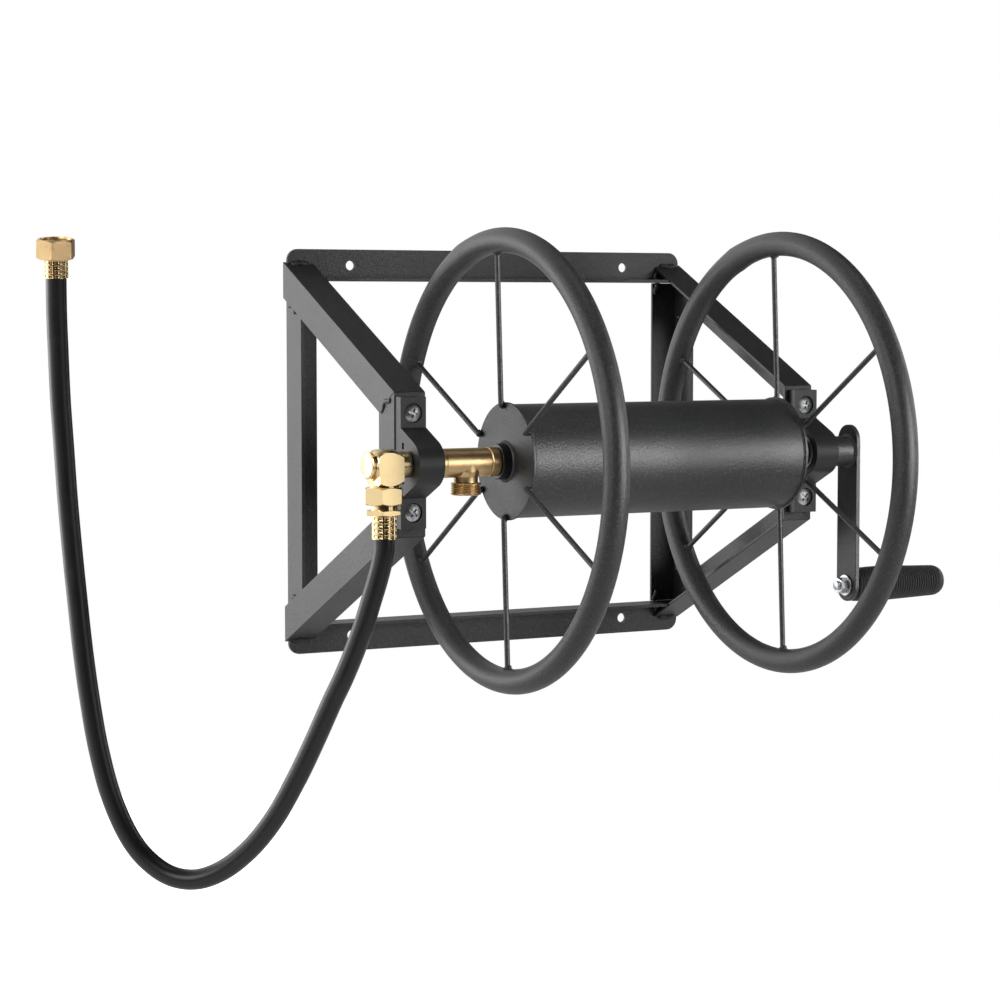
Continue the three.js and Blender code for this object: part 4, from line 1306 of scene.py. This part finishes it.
class REEL_OT_bearing_screws(bpy.types.Operator):
    """Builds the screws and nuts that hold the bearings"""

    bl_idname = "hose_reel.bearing_screws"
    bl_label = "Bearing Screws"

    def execute(self, context):
        for side_name in SIDES:
            for level in ("upper", "lower"):
                truss_screw(side_name, level)
                strap_nut(side_name, level)
        return {"FINISHED"}


class REEL_OT_rings(bpy.types.Operator):
    """Builds the two reel rings"""

    bl_idname = "hose_reel.rings"
    bl_label = "Rings"

    def execute(self, context):
        for side_name in SIDES:
            ring(side_name)
        return {"FINISHED"}


class REEL_OT_spokes(bpy.types.Operator):
    """Builds the spokes and their weld spots"""

    bl_idname = "hose_reel.spokes"
    bl_label = "Spokes"

    def execute(self, context):
        for side_name in SIDES:
            spokes(side_name)
        return {"FINISHED"}


class REEL_OT_drum(bpy.types.Operator):
    """Builds the drum and its discs"""

    bl_idname = "hose_reel.drum"
    bl_label = "Drum"

    def execute(self, context):
        drum()
        return {"FINISHED"}


class REEL_OT_tee(bpy.types.Operator):
    """Builds the water tee and its collar"""

    bl_idname = "hose_reel.tee"
    bl_label = "Water Tee"

    def execute(self, context):
        water_tee()
        tee_collar()
        return {"FINISHED"}


class REEL_OT_elbow(bpy.types.Operator):
    """Builds the swivel elbow and its cap"""

    bl_idname = "hose_reel.elbow"
    bl_label = "Swivel Elbow"

    def execute(self, context):
        swivel_elbow()
        return {"FINISHED"}


class REEL_OT_couplings(bpy.types.Operator):
    """Builds the couplings at both ends of the hose"""

    bl_idname = "hose_reel.couplings"
    bl_label = "Hose Couplings"

    def execute(self, context):
        coupling("inlet", inlet_place(), 20 * MM, 29.2 * MM, 15 * MM, "polished_brass", True)
        coupling("tap", tap_place(), TAP_FERRULE, TAP_FERRULE + GAP, 17 * MM, "satin_brass", False)
        return {"FINISHED"}


class REEL_OT_hose(bpy.types.Operator):
    """Lays the leader hose"""

    bl_idname = "hose_reel.hose"
    bl_label = "Leader Hose"

    def execute(self, context):
        leader_hose()
        return {"FINISHED"}


class REEL_OT_crank(bpy.types.Operator):
    """Builds the crank and its fasteners"""

    bl_idname = "hose_reel.crank"
    bl_label = "Crank"

    def execute(self, context):
        crank_axle()
        crank_arm()
        crank_bolt()
        return {"FINISHED"}


class REEL_OT_grip(bpy.types.Operator):
    """Builds the ribbed grip"""

    bl_idname = "hose_reel.grip"
    bl_label = "Grip"

    def execute(self, context):
        crank_grip()
        return {"FINISHED"}


class REEL_OT_stage(bpy.types.Operator):
    """Sets the camera, the floor and the lights"""

    bl_idname = "hose_reel.stage"
    bl_label = "Stage"

    def execute(self, context):
        stage()
        return {"FINISHED"}


STEPS = (
    REEL_OT_stage, REEL_OT_couplings, REEL_OT_hose, REEL_OT_frame, REEL_OT_frame_welds,
    REEL_OT_bearings, REEL_OT_bearing_screws, REEL_OT_rings, REEL_OT_spokes, REEL_OT_drum,
    REEL_OT_tee, REEL_OT_elbow, REEL_OT_crank, REEL_OT_grip,
)


class REEL_PT_panel(bpy.types.Panel):
    """Lists the reel's settings and the steps that build it"""

    bl_idname = "REEL_PT_panel"
    bl_label = "Hose Reel"
    bl_space_type = "VIEW_3D"
    bl_region_type = "UI"
    bl_category = "Hose Reel"

    def draw(self, context):
        for step in STEPS:
            self.layout.operator(step.bl_idname)
        for group in (context.scene.reel_shape, context.scene.reel_colours,
                      context.scene.reel_stage):
            box = self.layout.box()
            for key in group.__annotations__:
                box.prop(group, key)


GROUPS = {"reel_shape": ReelShape, "reel_colours": ReelColours, "reel_stage": ReelStage}


def register():
    for kind in (*GROUPS.values(), *STEPS, REEL_PT_panel):
        bpy.utils.register_class(kind)
    for name, kind in GROUPS.items():
        setattr(bpy.types.Scene, name, bpy.props.PointerProperty(type=kind))


def unregister():
    for name in GROUPS:
        delattr(bpy.types.Scene, name)
    for kind in reversed((*GROUPS.values(), *STEPS, REEL_PT_panel)):
        bpy.utils.unregister_class(kind)


def main():
    register()
    for step in STEPS:
        getattr(bpy.ops.hose_reel, step.bl_idname.split(".")[1])()


if __name__ == "__main__":
    main()
